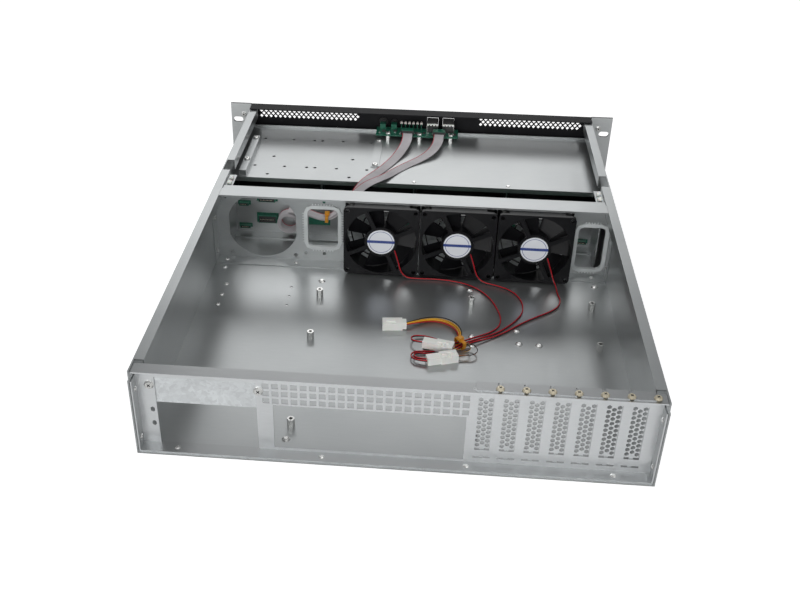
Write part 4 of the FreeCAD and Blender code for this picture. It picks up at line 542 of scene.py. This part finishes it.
# %% The three fan leads
FAN_LEADS = (
    [(-16.0, 305.8, 33.5), (-11.6, 303.4, 21.5), (-8.6, 301.7, 9.5), (-2.0, 300.4, 2.9), (10.0, 300.2, 2.4),
     (26.5, 301.2, 2.4), (44.0, 300.0, 2.4), (61.6, 295.4, 2.4), (76.8, 284.8, 2.4), (88.0, 268.6, 2.4),
     (94.2, 251.0, 2.4), (98.2, 233.0, 2.4), (96.4, 218.0, 2.4), (88.6, 207.0, 2.4), (77.0, 198.6, 2.6),
     (65.5, 190.4, 3.6), (52.6, 181.2, 3.6), (43.0, 181.6, 3.2), (34.0, 187.4, 2.8), (24.0, 191.8, 3.0),
     (14.0, 191.4, 3.6), (9.8, 188.3, 4.6), (8.2, 183.4, 5.8), (9.8, 178.4, 6.8), (14.0, 176.0, 7.4),
     (20.4, 175.0, 7.4)],
    [(65.2, 305.8, 33.5), (69.6, 303.4, 21.5), (73.0, 301.7, 9.5), (80.0, 299.2, 2.9), (92.5, 295.6, 2.4),
     (107.0, 289.0, 2.4), (117.0, 277.0, 2.4), (121.5, 261.5, 2.4), (121.2, 246.5, 2.4), (115.0, 232.0, 2.4),
     (105.6, 218.5, 2.4), (94.2, 206.0, 2.4), (81.2, 196.6, 2.6), (68.6, 188.4, 3.4), (56.4, 180.0, 3.4),
     (47.5, 173.2, 2.4), (38.5, 168.6, 2.3), (28.0, 166.8, 2.4), (17.0, 166.6, 2.6), (11.2, 163.4, 3.2),
     (8.8, 157.4, 4.0), (11.2, 151.4, 4.8), (17.0, 148.2, 5.2), (25.5, 147.4, 5.2)],
    [(146.4, 305.8, 33.5), (151.0, 303.4, 21.5), (154.8, 301.7, 9.5), (158.6, 296.4, 3.6), (159.0, 285.0, 2.4),
     (161.6, 272.5, 2.4), (158.5, 259.5, 2.4), (148.5, 248.4, 2.4), (134.5, 238.0, 2.4), (120.5, 226.5, 2.4),
     (108.0, 213.5, 2.4), (96.6, 202.6, 2.4), (83.6, 193.4, 2.6), (71.0, 185.6, 4.3), (58.7, 177.2, 4.3),
     (50.5, 170.6, 2.4), (41.5, 165.6, 2.3), (30.0, 163.5, 2.4), (22.0, 163.1, 2.6), (16.0, 163.0, 3.0),
     (13.1, 160.9, 3.5), (12.0, 157.4, 4.1), (13.1, 154.0, 4.7), (16.0, 151.9, 5.0), (24.4, 150.7, 5.2)],
)
LEAD_WIRE = 0.52
LEAD_LIFT = 0.5
LEAD_PAIR = [(0, LEAD_LIFT, LEAD_WIRE, 0), (0, -LEAD_LIFT, LEAD_WIRE, 1)]
for number, route in enumerate(FAN_LEADS, start=1):
    line = smooth_line("lead_line", route)
    lead = bundle("fan_wires_%d" % number, line, LEAD_PAIR, [FINISH["wire_red"], wire_black])
    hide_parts("fan_lead_%d" % number)
    print(lead.name, round(line_length(line) / MM), "mm")

# %% [markdown]
# Six wires, yellow, orange, red and black, join the long white connector to the tie. They spread
# apart between the two, and two pairs go on beyond the tie to the small connectors.

# %% The harness and its branches
HARNESS = [(2.6, 208.0, 5.7), (11.5, 212.8, 5.2), (22.0, 219.4, 3.8), (35.0, 221.6, 3.4), (46.6, 216.4, 3.6),
           (53.8, 206.0, 4.8), (56.6, 193.6, 6.4), (56.4, 179.4, 6.6)]
BRANCHES = (
    [(55.5, 178.8, 6.6), (62.6, 178.4, 6.8), (66.2, 173.4, 7.0), (66.2, 167.6, 7.2), (62.0, 163.9, 7.4),
     (56.2, 164.9, 7.4), (49.6, 167.8, 7.4)],
    [(57.8, 179.3, 6.6), (65.4, 178.9, 6.6), (71.8, 174.6, 6.4), (73.6, 168.0, 6.0), (70.4, 161.8, 5.6),
     (62.6, 160.0, 5.3), (51.6, 158.0, 5.2)],
)
HARNESS_WIRE = 0.54
HARNESS_SWELL = 1.7
BRANCH_DIAMETER = 1.575
BRANCH_WIRE = BRANCH_DIAMETER / 4
BRANCH_TURNS = 0.5
colours = [wire_yellow, wire_black, FINISH["wire_red"], wire_orange]
WIRE_PLACES = ((1.1, 0.7, 1), (0.5, 0.3, 0), (0.7, -0.3, 1), (0, -0.35, 3), (-0.5, 0.45, 0), (-1.1, -0.1, 2))
line = smooth_line("harness_line", HARNESS[::-1])
wires = [(across, lift, HARNESS_WIRE, colour) for across, lift, colour in WIRE_PLACES]
trunk = bundle("harness_trunk", line, wires, colours, swell=HARNESS_SWELL)
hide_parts("harness_wires")
for number, route in enumerate(BRANCHES, start=1):
    line = smooth_line("branch_line", route[::-1])
    pair = [(-BRANCH_WIRE, 0, BRANCH_WIRE, 0 if number == 1 else 3), (BRANCH_WIRE, 0, BRANCH_WIRE, 1)]
    branch = bundle("harness_branch_%d" % number, line, pair, colours, BRANCH_TURNS)
print("harness with", len(BRANCHES), "branches")

# %% [markdown]
# The two ribbons from the front board are ten fine wires side by side with a thin web between them,
# grey with one red edge. Their spare length is wound into a coil behind the fan wall, where the empty
# fan place shows it, so the coil is a strip too, wound inwards in a spiral.

# %% The ribbons and their coil
RIBBONS = (
    [(-13.5, 534.5, 71.5), (-12.6, 522.0, 71.5), (-13.8, 508.0, 69.4), (-18.4, 493.0, 66.0),
     (-25.0, 476.0, 63.2), (-33.8, 455.0, 62.2), (-43.4, 436.0, 62.2), (-51.0, 420.0, 63.2),
     (-56.5, 406.0, 63.8), (-61.0, 393.5, 62.2), (-66.5, 384.0, 56.2), (-74.5, 378.0, 46.0),
     (-84.5, 376.4, 36.4), (-95.5, 376.0, 30.2), (-107.0, 377.4, 31.0), (-118.5, 380.0, 34.2),
     (-129.5, 382.3, 35.2), (-141.0, 382.3, 35.05)],
    [(26.0, 534.5, 71.5), (25.8, 521.0, 71.5), (24.4, 507.0, 69.6), (17.5, 490.0, 66.4),
     (4.5, 474.5, 63.4), (-9.5, 460.5, 62.3), (-21.5, 444.5, 62.2), (-31.5, 427.5, 63.0),
     (-41.0, 411.0, 65.6), (-51.0, 398.0, 66.6), (-60.5, 388.5, 62.8), (-68.5, 381.0, 57.0),
     (-76.5, 377.0, 48.4), (-86.0, 376.2, 39.4), (-96.0, 376.0, 31.6), (-107.0, 377.4, 32.4),
     (-118.0, 380.0, 35.6), (-129.5, 382.3, 36.5), (-141.0, 382.3, 36.25)],
)
RIBBON_WIDTH = 12.7
RIBBON_WIRES = 10
WIRE_PITCH = RIBBON_WIDTH / RIBBON_WIRES
WIRE_RADII = (0.44 * 0.94, 0.44)
WEB_RADIUS = 0.24
RIBBON_STEPS = 5
flat_ten = [((i - (RIBBON_WIRES - 1) / 2) * WIRE_PITCH, 0, WIRE_RADII[i % 2], 1 if i == RIBBON_WIRES - 1 else 0)
            for i in range(RIBBON_WIRES)]
web = [((i - (RIBBON_WIRES - 2) / 2) * WIRE_PITCH, 0, WEB_RADIUS, 0) for i in range(RIBBON_WIRES - 1)]
ribbon_finishes = [FINISH["ribbon_grey"], ribbon_red]

COIL_CENTRE = (-141.0, 382.35, 21.0)
COIL_OUTER = 13.1
COIL_INNER = 9.0
COIL_TURNS = 4
COIL_POINTS = 14
COIL_STEPS = 3
COIL_WOBBLE = 0.25
coil_route = []
for i in range(COIL_TURNS * COIL_POINTS + 1):
    share = i / (COIL_TURNS * COIL_POINTS)
    radius = COIL_OUTER + (COIL_INNER - COIL_OUTER) * share
    angle = math.radians(90) + 2 * math.pi * COIL_TURNS * share
    coil_route.append((COIL_CENTRE[0] + radius * math.cos(angle), COIL_CENTRE[1] + COIL_WOBBLE * math.sin(3 * angle),
                       COIL_CENTRE[2] + radius * math.sin(angle)))
coil_line = smooth_line("coil_line", coil_route, COIL_STEPS)
coil = bundle("ribbon_turns", coil_line, flat_ten + web, ribbon_finishes, roundness=1,
              sideways=Vector((0, 1, 0)))
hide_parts("ribbon_coil")
for number, route in enumerate(RIBBONS, start=1):
    line = smooth_line("ribbon_line", route, RIBBON_STEPS)
    ribbon = bundle("flat_cable_%d" % number, line, flat_ten + web, ribbon_finishes, roundness=1)
    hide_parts("ribbon_%d" % number)
    print(ribbon.name, round(line_length(line) / MM), "mm")

# %% [markdown]
# The fans' hubs carry a round paper label. The real one is printed with a maker's words, which this
# part leaves off: it keeps the white paper, the dark blue band and one plain thin ring. The pattern
# is drawn by the material, measured from the label's centre by a Mapping node.

# %% A label's material
FAN_CENTRES = (-30.3, 50.9, 132.1)
FAN_HEIGHT = 43.5
FAN_REAR = 304.3
LABEL_RADIUS = 14.6
LABEL_THICKNESS = 0.25
BAND_HEIGHT, BAND_MARGIN = 0.3 * MM, 1.6 * MM
RING_RADIUS, RING_MARGIN = 12.5 * MM, 0.25 * MM


def label_paper(number, centre):
    material, tree, principled = shader("hub_label_%d" % number)
    place = add(tree, "ShaderNodeTexCoord")
    to_centre = add(tree, "ShaderNodeMapping", Location=tuple(-value for value in centre))
    parts = add(tree, "ShaderNodeSeparateXYZ")
    tree.links.new(place.outputs["Object"], to_centre.inputs["Vector"])
    tree.links.new(to_centre.outputs["Vector"], parts.inputs["Vector"])
    band = within(tree, parts.outputs["Z"], BAND_HEIGHT, BAND_MARGIN)
    flat = add(tree, "ShaderNodeVectorMath", operation="MULTIPLY")
    flat.inputs[1].default_value = (1, 0, 1)
    reach = add(tree, "ShaderNodeVectorMath", operation="LENGTH")
    tree.links.new(to_centre.outputs["Vector"], flat.inputs[0])
    tree.links.new(flat.outputs["Vector"], reach.inputs[0])
    ring = within(tree, reach.outputs["Value"], RING_RADIUS, RING_MARGIN)
    ink = add(tree, "ShaderNodeMath", operation="MAXIMUM")
    tree.links.new(band, ink.inputs[0])
    tree.links.new(ring, ink.inputs[1])
    tree.links.new(two_tones(tree, ink.outputs[0], (0.74, 0.76, 0.80), (0.03, 0.06, 0.24), 0.4, 0.6),
                   principled.inputs["Base Color"])
    skin = effect(tree, skin_group, Fineness=500.0)
    tree.links.new(spread_between(tree, skin.outputs["Shade"], 0.3, 0.42), principled.inputs["Roughness"])
    return material


# %% Discs for the labels
def disc(bm, centre, radius, thickness, sides, axis="Y"):
    """A short cylinder about a place, its axis along Y or Z."""
    turn = Matrix.Rotation(math.radians(90), 4, "X") if axis == "Y" else Matrix.Identity(4)
    bmesh.ops.create_cone(bm, cap_ends=True, segments=sides, radius1=radius * MM, radius2=radius * MM,
                          depth=thickness * MM, matrix=Matrix.Translation(spot(*centre)) @ turn)


for number, x in enumerate(FAN_CENTRES, start=1):
    bm = bmesh.new()
    disc(bm, (x, FAN_REAR - LABEL_THICKNESS / 2, FAN_HEIGHT), LABEL_RADIUS, LABEL_THICKNESS, 48)
    rim = [edge for edge in bm.edges if edge.calc_face_angle(0) > 1.0]
    bmesh.ops.bevel(bm, geom=rim, offset=0.08 * MM, affect="EDGES", segments=1, profile=0.5, material=-1)
    keep("fan_label_%d" % number, bm, [label_paper(number, spot(x, FAN_REAR, FAN_HEIGHT))])
print(len(FAN_CENTRES), "labels")

# %% [markdown]
# Small blocks with eased edges make many of the little things: sockets, chips, clips and comb teeth.
# One helper makes them all, from a cube that is stretched between two corners and bevelled.

# %% A block with eased edges
def block(bm, low, high, ease):
    """A block between two places, bevelled if it has an ease."""
    a, b = spot(*low), spot(*high)
    size = Matrix.Diagonal((b.x - a.x, b.y - a.y, b.z - a.z, 1))
    made = bmesh.ops.create_cube(bm, size=1, matrix=Matrix.Translation((a + b) / 2) @ size)["verts"]
    if ease:
        edges = list({edge for vertex in made for edge in vertex.link_edges})
        bmesh.ops.bevel(bm, geom=edges, offset=ease * MM, affect="EDGES", segments=1, profile=0.5, material=-1)


# %% [markdown]
# The cable passages in the fan wall are lined with a comb-like edge trim. Its ring comes from CAD;
# the teeth that grip the sheet stand out all round it.

# %% Comb teeth round the passages
WALL_REAR = 329.3
TRIM_THICKNESS = 1.4
TRIM_WIDTH = 3.0
TOOTH_WIDTH = 1.3
TOOTH_LENGTH = 1.9
TOOTH_PITCH = 3.1
TOOTH_ROOT = 0.3
TOOTH_EASE = 0.2
CORNER = 6.0
SIDE_WALL = 213.0
PASSAGES = {"left": (-112.9, 19.4, -77.8, 67.9), "right": (178.5, 8.5, 209.0, 61.5)}


def row(low, high):
    """The middles of the teeth along a straight edge."""
    number = int((high - low - 2 * CORNER) / TOOTH_PITCH) + 1
    return [(low + high) / 2 + (i - (number - 1) / 2) * TOOTH_PITCH for i in range(number)]


def span(edge, step):
    """From the tooth's root, a little inside the ring, to its tip."""
    return sorted((edge - TOOTH_ROOT * step / TOOTH_LENGTH, edge + step))


def comb(name, low_x, low_z, high_x, high_z):
    """Teeth round a passage, but none where they would run into the side wall."""
    bm = bmesh.new()
    rear, front = WALL_REAR - TRIM_THICKNESS + 0.2, WALL_REAR - 0.02
    half = TOOTH_WIDTH / 2
    count = 0
    for edge, step in ((low_z - TRIM_WIDTH, -TOOTH_LENGTH), (high_z + TRIM_WIDTH, TOOTH_LENGTH)):
        bottom, top = span(edge, step)
        for x in row(low_x, high_x):
            block(bm, (x - half, rear, bottom), (x + half, front, top), TOOTH_EASE)
            count += 1
    for edge, step in ((low_x - TRIM_WIDTH, -TOOTH_LENGTH), (high_x + TRIM_WIDTH, TOOTH_LENGTH)):
        if abs(edge + step) > SIDE_WALL:
            continue
        left, right = span(edge, step)
        for z in row(low_z, high_z):
            block(bm, (left, rear, z - half), (right, front, z + half), TOOTH_EASE)
            count += 1
    keep(name, bm, [FINISH["trim_plastic"]])
    return count


for side, edges in PASSAGES.items():
    print(side, "trim:", comb("trim_teeth_" + side, *edges), "teeth")

# %% [markdown]
# Every screw head has a cross recess. It is not cut: a cross of two crossed blocks in near-black painted shade,
# sunk into the head with only its top in view, stands for the recess, and takes very few faces.

# %% Cross recesses
HEAD_HEIGHT = 2.0
RECESS_WIDTH = 0.75
RECESS_DEPTH = 0.4
RECESS_PROUD = 0.03


def cross(bm, seat, outward, reach):
    """Two crossed blocks in the top of a head that stands on its seat, their outer faces a little proud; they carry
    the painted shade of the recess.
    """
    place = [value + HEAD_HEIGHT * way for value, way in zip(seat, outward)]
    turn = Vector((0, 0, 1)).rotation_difference(Vector(outward)).to_matrix().to_4x4()
    size = Matrix.Diagonal((2 * reach * MM, RECESS_WIDTH * MM, RECESS_DEPTH * MM, 1))
    shift = Matrix.Translation((0, 0, (RECESS_PROUD - RECESS_DEPTH / 2) * MM))
    for angle in (45, 135):
        pose = Matrix.Translation(spot(*place)) @ turn @ Matrix.Rotation(math.radians(angle), 4, "Z")
        bmesh.ops.create_cube(bm, size=1, matrix=pose @ shift @ size)


UPWARDS, REARWARDS, FORWARDS = (0, 0, 1), (0, -1, 0), (0, 1, 0)
SMALL, MIDDLE, LARGE = 1.2, 1.4, 1.7
SLOT_FIRST, SLOT_PITCH, SLOTS = 195.4, 20.32, 7
TAB_HOLE, TAB_HOLE_Y, TAB_TOP = 9.6, 6.5, 85.2
BOARD_TOP = 68.0
HOLE_REACH = 35.75
GUARD_FRONT = 330.5 + 1.4
screws = [((SLOT_FIRST - SLOT_PITCH * i + TAB_HOLE, TAB_HOLE_Y, TAB_TOP), UPWARDS, MIDDLE) for i in range(SLOTS)]
screws += [((x, 13.0, 64.0), REARWARDS, LARGE) for x in (-201.8, -111.2)]
screws += [((-198.9, y, 68.0), UPWARDS, MIDDLE) for y in (445.0, 507.0)]
screws += [((-47.9, y, 62.9), UPWARDS, MIDDLE) for y in (455.0, 524.5)]
screws += [((x, 537.0, BOARD_TOP), UPWARDS, MIDDLE) for x in (-37.5, 1.7, 40.5)]
screws += [((side * 225.0, 567.0, z), REARWARDS, MIDDLE) for side in (-1, 1) for z in (14.5, 73.6)]
screws += [((x + a * HOLE_REACH, GUARD_FRONT, FAN_HEIGHT + b * HOLE_REACH), FORWARDS, SMALL)
           for x in FAN_CENTRES for a in (-1, 1) for b in (-1, 1)]
bm = bmesh.new()
for seat, outward, reach in screws:
    cross(bm, seat, outward, reach)
# The crosses wear painted shade, which stands for the shade in each recess.
keep("screw_recess_shades", bm, [painted_recess_shade])
print(len(screws), "screws have their recess")

# %% [markdown]
# The front board carries two ribbon plugs, chips, solder, a row of indicator lamps on their wire legs,
# and two sockets. The sockets' shells and the legs come from CAD. The rest is too small for it, so it
# is dressed here, on top of the board.

# %% Plugs, chips and solder on the front board
PLUGS = (-13.5, 26.0)
CHIP_HEIGHT = 1.3
CHIPS = ((-43, 544, 5, 4), (-2.5, 541, 4, 5), (7.5, 542, 3.2, 3.2), (45.5, 541, 3.6, 5), (-29, 545.5, 4.4, 3),
         (38.2, 544.5, 2.4, 2))
SMALL_CHIPS = 16
PADS, PAD_PITCH, PAD_ROW = 22, 4.5, 556.6
bm = bmesh.new()
for x in PLUGS:
    block(bm, (x - 8.2, 533.4, BOARD_TOP + 0.9), (x + 8.2, 541.0, BOARD_TOP + 5.6), 0.3)
    block(bm, (x - 6.9, 531.6, BOARD_TOP + 1.4), (x + 6.9, 533.6, BOARD_TOP + 4.9), 0.2)
for x, y, wide, deep in CHIPS:
    block(bm, (x - wide / 2, y - deep / 2, BOARD_TOP), (x + wide / 2, y + deep / 2, BOARD_TOP + CHIP_HEIGHT), 0.15)
keep("board_chips", bm, [FINISH["dark_plastic"]])

bm = bmesh.new()
for i in range(SMALL_CHIPS):
    x = -48 + 6.1 * i + 1.3 * math.sin(5 * i)
    y = 539.5 + 5.5 * ((i * 7) % 4) / 3
    block(bm, (x - 0.9, y - 0.45, BOARD_TOP), (x + 0.9, y + 0.45, BOARD_TOP + 0.55), 0.08)
for i in range(PADS):
    disc(bm, (-50 + PAD_PITCH * i, PAD_ROW, BOARD_TOP + 0.2), 0.55, 0.4, 8, "Z")
keep("board_solder", bm, [FINISH["nickel"]])

# %% Lamps and sockets on the front board
LAMP_TOP = BOARD_TOP + 7.6
LAMPS = (-21.5, -16.5, -11.5, -6.5, -1.5, 3.5)
SOCKET_FIRST, SOCKET_PITCH, SOCKETS = 10.3, 19.6, 2
SOCKET_WIDTH, SOCKET_REAR = 14.4, 547.0
SOCKET_TOP = BOARD_TOP + 11.4 - 0.3
SPRINGS = (0.3, 4.0, 7.9, 11.6)
SPRING_WIDTH = 2.3
bm = bmesh.new()
for x in LAMPS:
    disc(bm, (x, 556.4, LAMP_TOP), 1.4, 3.6, 12)
    disc(bm, (x, 554.4, LAMP_TOP), 1.65, 0.8, 12)
keep("indicator_lamps", bm, [skinned("lamp_epoxy", (0.55, 0.50, 0.48), (0.72, 0.66, 0.62), 0.2, 600.0, 0.03)])

bm = bmesh.new()
insulators = bmesh.new()
for i in range(SOCKETS):
    low = SOCKET_FIRST + SOCKET_PITCH * i
    high = low + SOCKET_WIDTH
    block(insulators, (low + 0.7, SOCKET_REAR - 1.3, BOARD_TOP + 0.2),
          (high - 0.7, SOCKET_REAR - 0.02, SOCKET_TOP - 1.4), 0.2)
    for shift in SPRINGS:
        block(bm, (low + shift, SOCKET_REAR - 1.5, SOCKET_TOP - 2.2),
              (low + shift + SPRING_WIDTH, SOCKET_REAR + 0.1, SOCKET_TOP), 0.12)
    block(bm, (low + 0.3, SOCKET_REAR - 1.6, SOCKET_TOP - 0.5), (high - 0.3, SOCKET_REAR + 0.1, SOCKET_TOP), 0.1)
keep("socket_crowns", bm, [FINISH["white_nylon"]])
keep("socket_insulators", insulators, [FINISH["dark_plastic"]])
print("front board dressed")

# %% [markdown]
# The eight drive carriers are seen from the front. Each has a lever that lies in its recess, with
# five grip ribs, and a release key beside it. They move with their carrier, so each set rides on its
# own body.

# %% Levers on the carriers
CARRIERS = 8
RIBS, RIB_FIRST, RIB_PITCH = 5, 8.2, 2.4
for index in range(1, CARRIERS + 1):
    low, high = (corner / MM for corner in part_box("drive_tray_%d" % index))
    x0, x1 = low.x, high.x
    front, z0, z1 = high.y + HALF_LENGTH, low.z, high.z
    middle = (x0 + x1) / 2
    half = (x1 - x0) / 2
    bm = bmesh.new()
    recess = (middle + half * 0.5, middle + half * 0.8)
    block(bm, (recess[0] + 0.5, front - 3.1, z0 + 5.6), (recess[1] - 0.5, front - 0.4, z1 - 5.6), 0.4)
    for step in range(RIBS):
        z = z0 + RIB_FIRST + RIB_PITCH * step
        block(bm, (recess[0] + 2, front - 0.6, z), (recess[1] - 2, front - 0.1, z + 0.8), 0.15)
    block(bm, (middle + half * 0.86, front - 0.4, z0 + 9), (middle + half * 0.95, front - 0.05, z0 + 16), 0.2)
    keep("carrier_lever_%d" % index, bm, [FINISH["dark_plastic"]], body="carrier_%d" % index)
print(CARRIERS, "carriers dressed")

# %% [markdown]
# Behind the fan wall, the green backplane shows through cut-outs in its bracket. Its sockets get a
# dark inside and a row of contacts, and the two tall ears of the bracket hold white nylon clips.

# %% Sockets on the backplane, and the clips
CONNECTORS = ((188, 199, 37, 41), (157, 176, 43, 48.5), (156, 177, 16, 25.5), (187, 199, 8, 12))
CONNECTOR_REAR = 390.5 - 6
RIM = 0.8
PIN_FIRST, PIN_PITCH, PIN_WIDTH = 2.4, 1.6, 0.6
bm = bmesh.new()
pins = bmesh.new()
for sign in (-1, 1):
    for near, far, z_low, z_high in CONNECTORS:
        x_low, x_high = sorted((sign * near, sign * far))
        middle = (z_low + z_high) / 2
        block(bm, (x_low + RIM, CONNECTOR_REAR - 0.6, z_low + RIM),
              (x_high - RIM, CONNECTOR_REAR + 0.1, z_high - RIM), 0.15)
        for i in range(int((x_high - x_low - 4) / PIN_PITCH)):
            x = x_low + PIN_FIRST + PIN_PITCH * i
            block(pins, (x, CONNECTOR_REAR - 0.9, middle - PIN_WIDTH / 2),
                  (x + PIN_WIDTH, CONNECTOR_REAR - 0.5, middle + PIN_WIDTH / 2), 0)
keep("backplane_sockets", bm, [FINISH["dark_plastic"]])
keep("backplane_pins", pins, [FINISH["gold_zinc"]])

EAR = 200.5
bm = bmesh.new()
for x in (-EAR, EAR):
    for y in (348.0, 360.0):
        block(bm, (x - 2.4, y, 82.0), (x + 2.4, y + 6.0, 84.6), 0.5)
        disc(bm, (x, y + 3.0, 85.0), 1.7, 0.8, 12, "Z")
keep("ear_clips", bm, [FINISH["white_nylon"]])
print("backplane dressed")

# %% [markdown]
# Light comes from four large soft boxes and from the room. Two hang above the case. A wide one stands
# low behind the camera and lights every face that looks to the rear, and one beyond the case gives
# the floor its sheen. The room is white to the camera. To everything else it is a nearly even grey.

# %% Soft boxes
def soft_box(name, place, width, height, power):
    """A lamp that is aimed at the middle of the case."""
    light = bpy.data.lights.new(name, "AREA")
    light.shape = "RECTANGLE"
    light.size = width
    light.size_y = height
    light.energy = power
    lamp = bpy.data.objects.new(name, light)
    lamp.matrix_world = Matrix.Translation(place) @ (-Vector(place)).to_track_quat("-Z", "Y").to_matrix().to_4x4()
    bpy.context.scene.collection.objects.link(lamp)


soft_box("key_box", (0.9, -0.9, 1.5), 1.2, 1.0, 3.5)
soft_box("top_box", (-0.2, 0.1, 1.9), 1.4, 1.2, 5.5)
soft_box("rear_box", (-0.3, -2.0, 0.5), 1.8, 0.8, 25.0)
soft_box("back_box", (-0.10, 1.4, 0.87), 1.2, 0.7, 3.9)

# %% The room
EYE_LEVEL, EYE_LEVEL_GREY = 0.1, (0.36, 0.36, 0.36)
OVERHEAD, OVERHEAD_GREY = 0.5, (0.32, 0.325, 0.33)
world = bpy.data.worlds.new("pale_room")
bpy.context.scene.world = world
world.use_nodes = True
tree = world.node_tree
background = tree.nodes["Background"]
place = add(tree, "ShaderNodeTexCoord")
parts = add(tree, "ShaderNodeSeparateXYZ")
tree.links.new(place.outputs["Generated"], parts.inputs["Vector"])
room = two_tones(tree, parts.outputs["Z"], EYE_LEVEL_GREY, OVERHEAD_GREY, EYE_LEVEL, OVERHEAD)
rays = add(tree, "ShaderNodeLightPath")
seen = add(tree, "ShaderNodeMix", data_type="RGBA")
seen.inputs[7].default_value = (1, 1, 1, 1)
tree.links.new(rays.outputs["Is Camera Ray"], seen.inputs[0])
tree.links.new(room, seen.inputs[6])
tree.links.new(seen.outputs[2], background.inputs["Color"])
background.inputs["Strength"].default_value = 1.0

# %% [markdown]
# The case stands on a white sweep. The camera sees it glow a little, so that it goes to white, while
# the shadow under the case stays.

# %% Floor
FLOOR_REACH = 8.0
FLOOR_DROP = 0.2 * MM
GLOW = 0.7
bm = bmesh.new()
bmesh.ops.create_grid(bm, x_segments=1, y_segments=1, size=FLOOR_REACH)
floor_mesh = bpy.data.meshes.new("white_sweep")
bm.to_mesh(floor_mesh)
bm.free()
floor = bpy.data.objects.new("white_sweep", floor_mesh)
bpy.context.scene.collection.objects.link(floor)
floor.location.z = -FLOOR_DROP
sweep, tree, principled = shader("white_sweep", Base_Color=(0.7, 0.7, 0.7, 1), Roughness=0.9,
                                 Emission_Color=(1, 1, 1, 1))
rays = add(tree, "ShaderNodeLightPath")
glow = add(tree, "ShaderNodeMath", operation="MULTIPLY")
glow.inputs[1].default_value = GLOW
tree.links.new(rays.outputs["Is Camera Ray"], glow.inputs[0])
tree.links.new(glow.outputs[0], principled.inputs["Emission Strength"])
floor_mesh.materials.append(sweep)

bpy.context.scene.view_settings.view_transform = "Standard"
